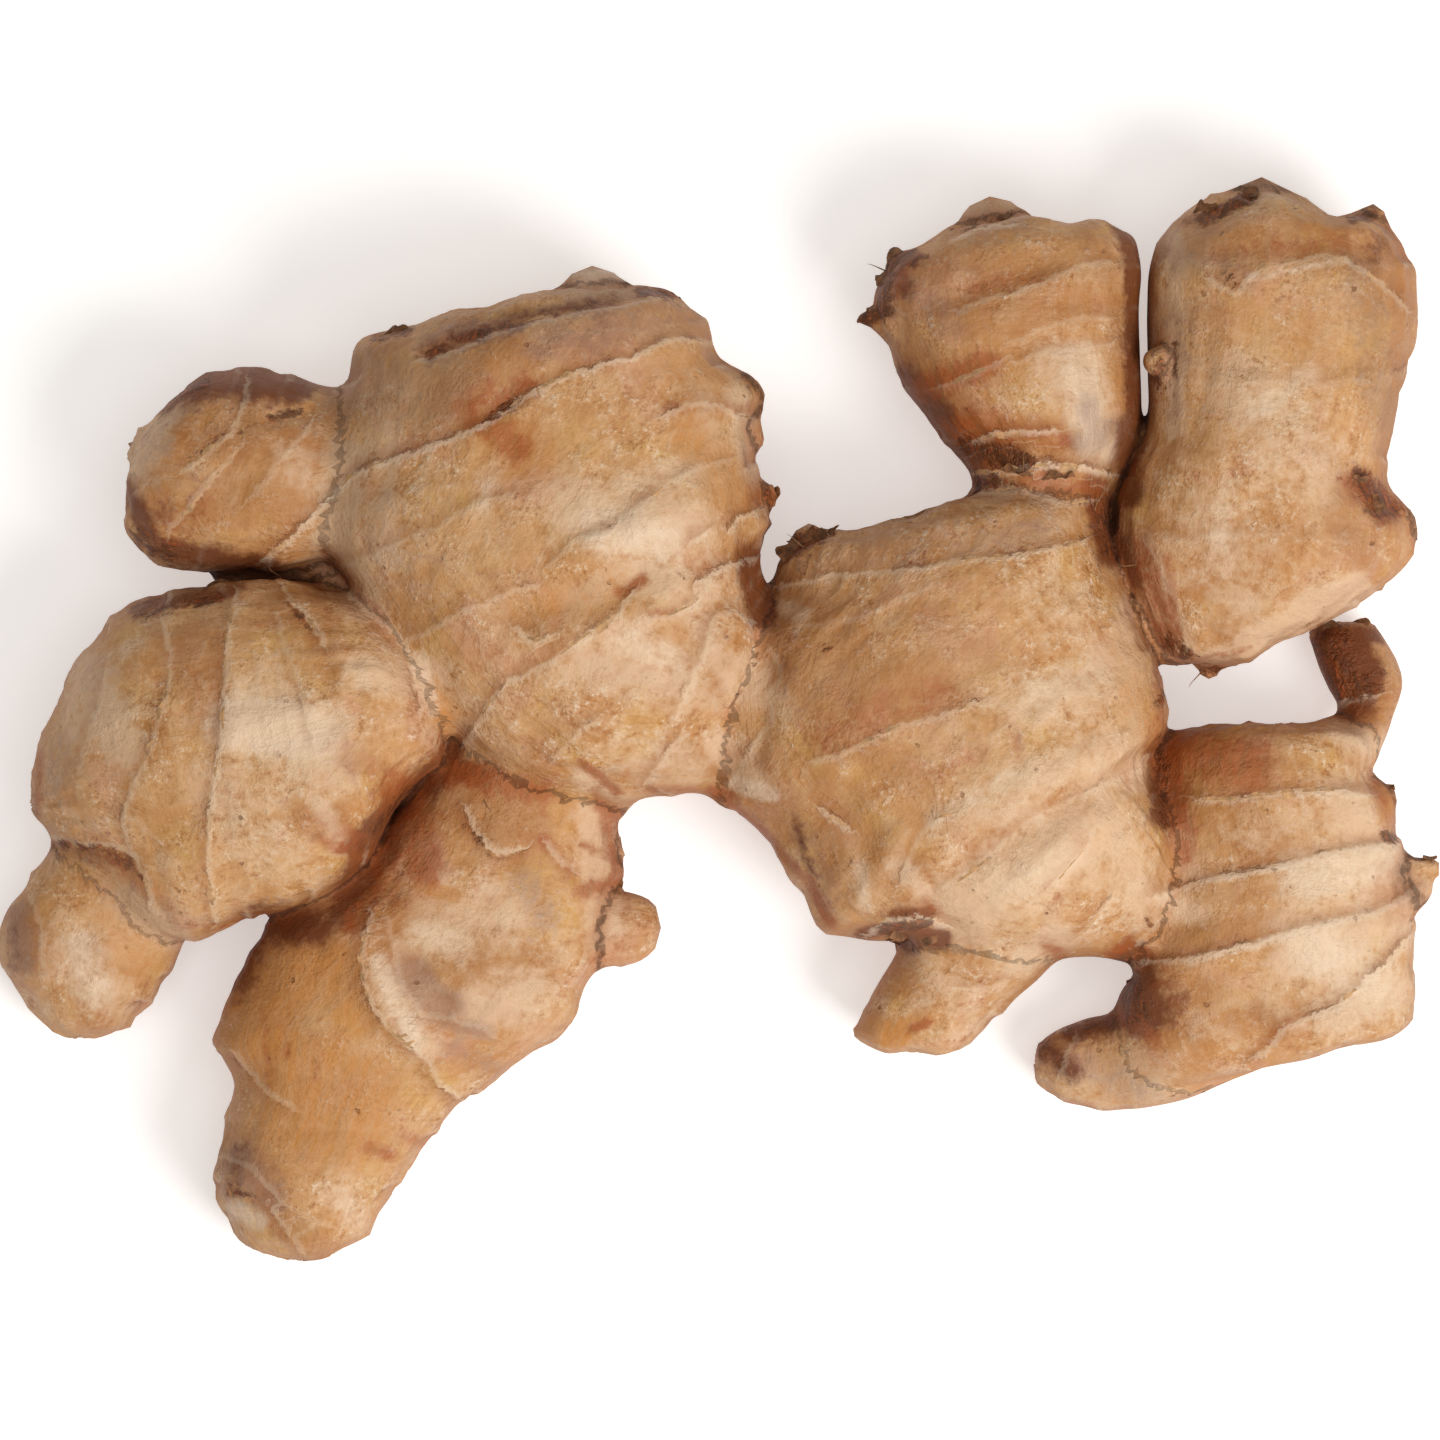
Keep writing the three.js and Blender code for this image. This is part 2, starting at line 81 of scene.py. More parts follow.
# Each lobe is a loft. A row is one section: [ax, ay, bx, by, z, h]. Points a and b are its two ends in
# plan, z is the height of its middle and h is half its thickness. Rows run from base to tip. "rings"
# are the places along the rows where a band of skin ends, and "caps" the lengths of the rounded ends.
LOBES = {
    "left_mother": {
        "rows": [
            [9, -6, 10, 12, 18, 8], [1, -8.6, 7, 15, 18.5, 11], [-6, -9.4, 5.9, 17, 19.2, 14],
            [-14, -9.8, 5.2, 19.5, 20, 16.5], [-24, -8, 5.2, 22, 20.3, 18],
            [-32, -2.5, 5.4, 25, 20.3, 19.5], [-39.5, 6, 5, 28.5, 20.2, 20.2],
            [-46, 15.5, 4.5, 32.5, 20.2, 20.2], [-49.5, 23, 4.4, 36.5, 20.5, 18.8],
            [-48.5, 28.5, 5, 40.6, 20.6, 18], [-47.2, 34, 1, 45.4, 20.8, 17.2],
            [-46.6, 40.6, -1.2, 48.8, 21, 16.2], [-45.6, 46.2, -3.2, 52, 21, 13.8],
            [-41.5, 48.9, -8, 53.9, 21, 10.4],
        ],
        "rings": [2.2, 3.1, 4.35, 5.6, 6.9, 8.3, 9.8, 11.3], "caps": [4, 1.2],
    },
    "left_palm": {
        "rows": [
            [-39.6, 10.6, -36.4, -6.6, 21, 13.6], [-44, 14.6, -40.4, -10.4, 20.8, 16],
            [-50, 17, -45.6, -18.6, 20.6, 17.2], [-56, 17.9, -52, -22.8, 20, 17.7],
            [-62, 17.7, -59, -24.1, 19.3, 17.7], [-68, 16.9, -66, -26.8, 18.5, 17.1],
            [-74, 14.8, -71, -25.5, 17.3, 15.8], [-80, 9, -76, -21, 16, 13.8],
            [-83, 1.9, -80, -17.5, 14.8, 11.2], [-86, -5.8, -84, -13.8, 14, 8],
        ],
        "rings": [1.8, 2.9, 4, 5.2, 6.4, 7.5], "caps": [3.2, 1],
    },
    "left_tip": {
        "rows": [
            [-80, -8, -66, -14, 12, 7.5], [-83.2, -14.4, -66.5, -22, 11, 8.6],
            [-85.6, -18.4, -67.2, -28.4, 10.3, 9.2], [-89.4, -23.8, -69.4, -32.2, 9.6, 9.8],
            [-89.7, -29.8, -71, -34.9, 9.3, 9.6], [-87.6, -35, -73.4, -37.4, 9.2, 8.2],
        ],
        "rings": [1.4, 3, 4.3], "caps": [2, 3.2],
    },
    "left_knob": {
        "rows": [
            [-40, 36, -49, 20, 17, 9], [-47.5, 41.2, -55, 18.2, 16.5, 11.5],
            [-53, 42.6, -64, 17.9, 16, 12.6], [-58.5, 44, -70.4, 19, 15.6, 12.6],
            [-64, 43.6, -74, 22.6, 15.2, 11.6], [-69, 40.1, -74.6, 27.5, 14.9, 9],
            [-72.2, 36.6, -74.4, 32, 14.7, 5],
        ],
        "rings": [1.1, 2.2, 3.3, 4.4], "caps": [2, 0.8],
    },
    "lower_finger": {
        "rows": [
            [-32, 2, -9, -2, 14, 9.5], [-37, -6, -12.8, -11, 13.5, 11.5],
            [-42, -12.5, -12.6, -18, 13, 12.6], [-48, -19.5, -14.5, -27, 12.9, 12.9],
            [-56.6, -25.2, -17, -34, 12.9, 13.1], [-60.6, -32, -20.5, -39.3, 12.7, 13.3],
            [-63.4, -38.5, -27, -43.7, 12.3, 12.6], [-61.2, -44.5, -33.3, -48.4, 11.8, 11.8],
            [-62, -51, -36.6, -52.6, 11.5, 11.4], [-63.2, -57, -40.4, -57.8, 11.2, 11.2],
            [-61.6, -62.4, -43.4, -62.8, 11, 9.6],
        ],
        "rings": [1.7, 3.1, 4.6, 6.6, 7.9, 9.2], "caps": [3, 4.8],
    },
    "right_mother": {
        "rows": [
            [51, -30, 57, -18, 16, 8], [45, -29.4, 56, -13, 17.4, 12], [37, -29.6, 54.3, -8, 18.3, 15],
            [27, -27.8, 54.1, -4, 18.7, 17], [16.6, -27.6, 56.2, 0, 18.8, 18.2],
            [11.4, -24.4, 55.6, 4.4, 18.8, 18.9], [6.6, -16, 53.8, 9, 18.8, 19.3],
            [1, -9.6, 52, 12.5, 18.8, 19.2], [-1, 1, 50.3, 16.6, 18.8, 18.6],
            [1.5, 9, 48.9, 20.4, 18.8, 17.4], [6, 14.5, 47.6, 24.2, 18.8, 15.6],
            [6.8, 20.2, 46, 27.6, 18.8, 13], [11, 22.6, 41, 28.4, 18.8, 10],
        ],
        "rings": [1.9, 3.1, 4.6, 6, 7.3, 8.7, 10.2], "caps": [2, 1.2],
    },
    "lower_nub": {
        "rows": [
            [28, -16, 46, -22, 15, 9], [23.6, -25.4, 42.4, -29.8, 14, 10.5],
            [21.8, -29.8, 38.4, -33.4, 12.8, 10], [18.9, -34.8, 34.7, -37.2, 11.6, 9.2],
            [16.8, -38.6, 31.6, -40.3, 10.8, 7.6],
        ],
        "rings": [1.7, 2.9], "caps": [2, 1.6],
    },
    "upper_finger": {
        "rows": [
            [34, 20, 48, 20, 15.5, 9], [32.7, 28.6, 49, 28, 15.6, 10.5], [29.7, 33.8, 52, 33.5, 15.7, 12.3],
            [25.7, 38.8, 53, 39, 15.8, 13.4], [22.5, 43.8, 52.8, 45, 15.8, 14],
            [20.9, 48.8, 52.4, 50.8, 15.8, 14.2], [20.2, 53.5, 52.8, 56, 15.8, 13.6],
            [22.2, 57.9, 51.6, 60.2, 16, 11.6], [27.6, 61.3, 49.4, 62, 16.2, 8.6],
        ],
        "rings": [1.2, 2.4, 3.7, 5, 6.2], "caps": [2, 0.8],
    },
    "right_finger": {
        "rows": [
            [55.4, 9.2, 66, 8.4, 15.5, 8], [52.8, 13.5, 76.4, 12.8, 15.6, 12],
            [50.3, 19, 84.6, 18.4, 15.6, 14.6], [49.3, 25, 86.2, 24.4, 15.6, 15.5],
            [50.9, 31, 83.2, 31, 15.7, 15.8], [53.2, 37, 83.9, 37, 15.9, 16],
            [53.6, 44, 85.8, 44, 16.1, 16], [53.8, 51, 86.9, 51, 16.4, 15.7],
            [53.8, 57, 86.6, 57, 16.7, 14.8], [56.6, 61.8, 84.2, 61.4, 17, 12.2],
            [61.2, 65, 74, 64.6, 17.4, 8],
        ],
        "rings": [1.3, 2.7, 4.3, 6, 8.05], "caps": [2.4, 0.9],
    },
    "right_neck": {
        "rows": [
            [44, 4, 44, 15, 13.5, 7], [51, 6, 51, 18, 13.5, 7.5], [58, 8, 54, 27, 12.5, 8],
        ],
        "rings": [], "caps": [3, 3],
    },
    "far_lobe": {
        "rows": [
            [57, -45.6, 79.6, -39.8, 12.5, 9], [51.6, -42.9, 87, -37, 12.6, 11.6],
            [49.4, -36.6, 86.3, -30, 12.8, 12.8], [51, -31.2, 86.1, -25.2, 13, 13.3],
            [53.5, -25.8, 85.6, -20.3, 13.2, 13.4], [53.5, -19.3, 84.8, -15.3, 13.4, 13.2],
            [53, -12, 84, -10.3, 13.6, 12.6], [53.7, -6.4, 82, -5.8, 13.8, 11.4],
            [55.4, -2.4, 81.4, -1.6, 14, 9], [60, -1.1, 78, -0.5, 14, 6.4],
        ],
        "rings": [1.7, 3.1, 5, 6.55], "caps": [0.8, 0.4],
    },
    "far_tip": {
        "rows": [
            [60, -36, 60, -46, 9, 6.5], [52, -36, 54.5, -48.2, 7.6, 6.6],
            [46.6, -37, 48.5, -48.8, 6.9, 6.2], [42.6, -38.3, 43.3, -47.8, 6.4, 5.5],
            [40, -40.2, 40.2, -45.9, 6, 3.6],
        ],
        "rings": [1.4, 2.4, 3.3], "caps": [2, 1],
    },
    "far_stub": {
        "rows": [
            [76, -7, 80.4, -8, 11, 4.5], [77.8, 0.3, 83.7, 0.2, 9, 4.4], [76.2, 4.2, 85.3, 4.2, 7.6, 4.6],
            [74.8, 7.7, 83.9, 8.4, 6.6, 4.5], [73.7, 11, 82.3, 12, 5.8, 3.7],
        ],
        "rings": [1.4, 2.6], "caps": [2, 1],
    },
}

# Buds, root stubs and mounds: [x, y, z, x, y, z, radius at the root, radius at the tip]. The last
# three are low webs of flesh that close the crevices between neighbouring lobes.
BUDS = [
    [-15.6, 45, 22, -15.8, 52.2, 22, 8, 4.2], [-8, 46, 20, -7, 52.4, 20, 5, 1.8],
    [2, 36, 22, 3, 40.6, 22, 4.5, 2.8], [1, 28, 21, 5.6, 27.9, 22, 2.6, 1.5],
    [-20, -26, 14, -12.2, -26, 13.5, 5.2, 4.6], [-17, -17, 14, -13.8, -16, 14, 4, 2],
    [34, 55, 17, 33.8, 61.4, 17, 10, 3.8], [26, 55, 17, 22, 56.6, 17, 3.4, 2],
    [25, 52, 17, 18, 50, 16.5, 1.8, 0.6], [67, 57, 18, 67.4, 64, 18, 10, 3.6],
    [81, 58, 17, 81.4, 62.2, 17, 4.4, 2.2], [58, 44.6, 21, 54.4, 44.6, 25, 2.6, 1.7],
    [79, 24, 16, 85.6, 24, 17, 6, 2], [61.5, 10, 14, 61.2, 6.4, 14, 2.4, 1.2],
    [57, 12, 13, 56.6, 7.6, 13, 3, 1.2], [13, 19, 20, 10.6, 22.4, 20, 4.2, 2.2],
    [82, -10, 15, 83.8, -9.2, 16, 3, 0.9], [80, -21, 15, 88.6, -18.2, 15, 6.4, 1.2],
    [-47, 24, 12, -60, 17.4, 12, 7, 2.4], [-42, 18.6, 14, -47.4, 15.8, 14.5, 5, 3.4],
    [46, 16, 12, 52, 34, 13.5, 6, 4],
]

# Joins whose flesh flows together: the reach of the fillet on each side.
SOFT_JOINS = {
    ("left_mother", "left_knob"): 3.6,
    ("left_mother", "right_mother"): 2.6,
    ("left_mother", "left_palm"): 3,
    ("left_mother", "lower_finger"): 3.2,
    ("left_palm", "left_tip"): 3,
    ("right_mother", "lower_nub"): 5,
    ("right_mother", "upper_finger"): 2.4,
    ("right_mother", "right_finger"): 1.2,
    ("right_mother", "far_lobe"): 2.2,
    ("far_lobe", "far_tip"): 5,
    ("far_lobe", "far_stub"): 3.5,
}

# How warm (below zero) or pale (above zero) a lobe's skin is.
LOBE_TONE = {
    "left_knob": -0.12, "left_palm": 0.05, "left_tip": 0.05, "right_mother": 0.15, "upper_finger": -0.1,
    "right_finger": 0.1, "far_lobe": 0.15, "far_stub": -0.9, "far_tip": -0.05,
}

# Edges of the bands of skin, seen from above: [strength, step, x, y, x, y, ...]. The younger and lower
# skin lies to the left of the line as it runs.
SEAMS = [
    [0.55, 0.5, -37, 45, -33, 46.3, -27, 49, -16, 51.6, -8, 52.6],
    [0.9, 0.45, -56.5, 20.6, -54, 22.4, -46, 30.4, -43, 32, -39, 33, -31, 36],
    [1, 0.6, -31, 36, -28.5, 37.3, -24, 40.6, -18, 43.3, -16, 43.7, -14, 44.6, -11, 45, -9, 46.2],
    [0.7, 0.4, -9, 46.2, -7, 47.2, -4.5, 47.6, -1.6, 47.3],
    [0.45, 0.3, -47, 19.6, -43.5, 20.4, -37.5, 23.3, -35, 24, -33, 25.6, -30, 27.2, -26, 28.2],
    [0.7, 0.3, -6.4, 38.2, -4.6, 39.4, -2, 39.5, 0.4, 39.3, 2, 38.2, 4.2, 37.8],
    [0.5, 0.35, -39.5, 10.2, -37, 11, -32, 13.8, -29, 14.6, -26, 16.2, -23, 16.8],
    [0.45, 0.3, -21, 19.6, -18, 22.4, -13.6, 24, -6.5, 29.6, -3, 31.6, 0.5, 32.4],
    [0.75, 0.5, -31.8, -2.4, -28, 3.4, -26.4, 5, -22, 6.8, -12.6, 13.8, -11, 16],
    [0.6, 0.4, -8.6, 13, -6, 13.4, -3.6, 14.6, -0.6, 18.4, 1.4, 19.6, 3.8, 20.2],
    [0.5, 0.25, -20.6, -4.4, -17, -0.6, -15.4, 0.2],
    [0.55, 0.4, -5.6, 0.8, -2, 9.4, -1.6, 12, -0.6, 13.6, 1.6, 13.8, 3.4, 12.6],
    [0.55, 0.3, -9.2, -7.4, -5, -1.4], [0.55, 0.3, 1.6, -7, 4.2, -1.8, 5.6, -0.2, 5.4, 3, 6.8, 5.6, 6.2, 8],
    [0.4, 0.2, -72.6, 28.6, -71, 30.2, -69, 30.6],
    [0.6, 0.3, -66.4, 31.4, -61.2, 35.8, -59.8, 38.6, -59.2, 41.6], [0.4, 0.25, -58.4, 28, -51.4, 36.6],
    [0.5, 0.35, -59.4, 33.6, -68, 23.4],
    [0.7, 0.45, -63.2, -24.4, -63.8, -18, -63.6, -12, -61.8, -1, -61.4, 9, -60.4, 15.6],
    [0.6, 0.4, -73.8, -16.4, -74.4, -12, -73, -8, -71, -4, -68.6, 4, -68.4, 8, -69.4, 11.6],
    [0.35, 0.3, -79.8, -6, -78.6, -1.4, -77, 3, -76.2, 7.4],
    [0.4, 0.25, -50.6, -2, -51.6, 2, -54.6, 10.4, -55.4, 13.6],
    [0.8, 0.35, -49.4, 9.6, -51, 12.2, -53.6, 14.6, -54.4, 16],
    [0.6, 0.2, -37.2, 1.6, -38.8, 7.8, -40.2, 10.2, -46.6, 15.4],
    [0.7, 0.3, -71, -22.4, -71.6, -19.6, -73.4, -17, -76.6, -16, -80, -16.2, -83.4, -15],
    [0.4, 0.2, -85.2, -30.4, -85, -26.4, -86.2, -22.6],
    [0.9, 0.4, -24.6, -16.4, -26.8, -17, -28.8, -16.2, -30.6, -14.2, -31.6, -11.6],
    [0.7, 0.3, -18.8, -18.8, -20.4, -17.6, -21.6, -16],
    [0.75, 0.6, -33.2, -47.2, -35.6, -45.2, -36.6, -42.6, -42.6, -37.4, -44.4, -33.4, -45, -29, -43.8,
     -24.4],
    [0.4, 0.2, -28.6, -39.2, -33, -37.7, -37.4, -37, -40, -33, -41.6, -25],
    [0.55, 0.3, -53.6, -48.4, -56.8, -46.6, -60.6, -42],
    [0.45, 0.3, -49.6, -63.2, -55, -60.2, -58.6, -56, -62, -55], [0.6, 0.3, -52.6, -66.4, -56, -61.4],
    [0.75, 0.45, 8, 17, 14, 18.4, 20, 18.6, 26, 19.3, 29, 20.1, 36, 20.6, 44.6, 22.4],
    [0.3, 0.2, 9, 11.6, 18, 13.2, 22, 15.4, 26, 17],
    [0.55, 0.35, 11.6, -4.8, 15, -4, 22, -0.4, 26.6, 0.6, 31, 2.2],
    [0.4, 0.3, 22, -20.4, 23, -17, 24.6, -13.6, 26.6, -11.8, 29.4, -11],
    [0.45, 0.35, 28, -20.6, 31, -18.6, 38, -12.4, 43, -9.8, 52, -6.2],
    [0.3, 0.2, 41, -19.6, 43, -16.2, 45.4, -13.8], [0.5, 0.25, 44.8, -26.4, 48.2, -22.2],
    [0.45, 0.25, 41, -20.2, 45, -15.6], [0.7, 0.25, -16.8, 22.8, -13.8, 23.6],
    [0.7, 0.25, -3.2, 22.2, -2, 23.2], [0.8, 0.3, 1.4, 24, 2.2, 25.4, 4, 26],
    [0.9, 0.35, -2.6, 17.3, 0, 19, 2.2, 19.7], [0.7, 0.25, -24.6, 11.2, -22.8, 10, -21.2, 10.6],
    [0.8, 0.2, 13, -11, 15.8, -13], [0.9, 0.5, 18.6, -26, 20.6, -24.6, 23, -24.1, 25.6, -24.6, 27.8, -25.6],
    [0.6, 0.3, 30, -33.2, 32.6, -33.2, 35.4, -32.4], [0.3, 0.2, 30.4, -32, 31.6, -29.8, 31.2, -27.2],
    [0.7, 0.3, 29, 60.2, 31, 61.6, 33.6, 62.4, 36.4, 62],
    [0.5, 0.45, 29.6, 51.2, 33, 52.6, 37, 53.4, 45.4, 57, 48.4, 57.2],
    [0.35, 0.25, 36.6, 47.4, 40, 49, 44, 50.2, 48, 50.4],
    [0.35, 0.3, 36.8, 44.6, 40.6, 46.4, 44.6, 46.2, 48.2, 47], [0.4, 0.3, 27.6, 41.8, 31, 43, 34.6, 44.8],
    [0.9, 0.5, 31.4, 34.6, 34, 35.8, 41.4, 36.2], [1, 0.5, 31, 30.8, 38, 31.8, 42, 32, 46, 31.6, 49, 30.8],
    [0.7, 0.3, 33, 28.6, 37, 29.2, 43, 27.2, 46, 27.6],
    [0.55, 0.5, 61.4, 54.6, 64, 53.2, 65, 55, 67, 56.4, 74, 57.9, 77.6, 57.7, 83, 54, 85.4, 51.6],
    [0.25, 0.2, 58, 42.4, 63, 42, 68, 42.4, 74, 42, 80, 42.6],
    [0.2, 0.2, 53, 23.6, 58, 23, 65, 23.4, 78, 22.4], [0.3, 0.2, 57.6, 9, 57, 13, 53, 21.6],
    [0.8, 0.5, 59.6, -9.6, 63, -9.6, 71, -8.6, 76, -8.4, 80.4, -9],
    [0.8, 0.9, 54.6, -21.6, 61, -19.4, 65, -18.8, 78, -15.8, 84.4, -15],
    [0.8, 0.9, 52.6, -29.8, 58, -29.4, 67, -27.3, 72, -25.6, 82, -23.6, 86.4, -21],
    [0.8, 0.6, 66.6, -41.6, 69, -39.6, 70, -37.9, 76, -35.8, 83, -29.8, 85.6, -27],
    [0.5, 0.3, 52, -27.6, 55, -24], [0.5, 0.2, 42.4, -43.6, 43, -41.4, 44, -39.8],
    [0.9, 0.3, 76.6, 2, 79, 3, 82, 3.4],
]

# Soft folds seen from above: [height, or depth where negative, reach, x, y, x, y, ...].
FOLDS = [
    [-0.8, 1.6, -36, 45.4, -30, 48, -24, 50, -12, 52.6],
    [-0.7, 2.6, -25, 13.6, -16, 15.4, -8, 18.6, 1, 21.6], [0.6, 2.4, -20, 9.6, -12, 12.4, -5, 16],
    [0.7, 3, -18, 20.6, -10, 23.6, -2, 27], [-0.6, 1, -28.4, 37.6, -24.6, 40.2], [1.1, 2.8, 1, 4, 1.4, 11],
    [-0.8, 1.2, 4.4, -5, 5.6, 1, 6.6, 7], [-1, 2, 27, -21, 34, -16, 44, -9.6, 52, -6.4],
    [0.6, 2.6, 27, -15, 36, -8.6, 45, -4.6], [0.6, 2.8, 36, -21, 46, -12.6],
    [-0.5, 1.4, 40, -24, 44, -19, 49, -14], [-0.7, 1.6, 25.6, -22.6, 28.4, -26.4],
    [0.6, 1.6, 18, -21, 22, -14], [-0.7, 2, 30, 53.6, 35, 55, 40, 57], [-0.6, 1, 29, 61, 36, 62.6],
    [-1.3, 1.3, 60, 62, 66, 65.2], [-1.1, 1.8, 79.6, 29.4, 82.6, 26.4],
    [-0.6, 2.2, 62, 58.4, 72, 60, 80, 59], [-0.6, 1.2, -56, 37.6, -51, 38.4],
    [-0.5, 1.4, -60.6, 41, -59.4, 36], [-0.6, 1.2, -30, -15.4, -26, -17.6],
    [0.5, 1.8, -27.4, -13.6, -24, -15], [-0.8, 1.6, -38.4, -31, -35, -35.6],
    [0.6, 2.2, -43.4, -27, -43, -34, -38.6, -39.6], [0.5, 1.8, -61, -1, -51, 1],
    [-0.5, 1.8, -81, -15.8, -73, -17], [-0.9, 1.6, 32, 34, 40, 33], [-0.7, 1.8, 60, -33.6, 70, -36],
]

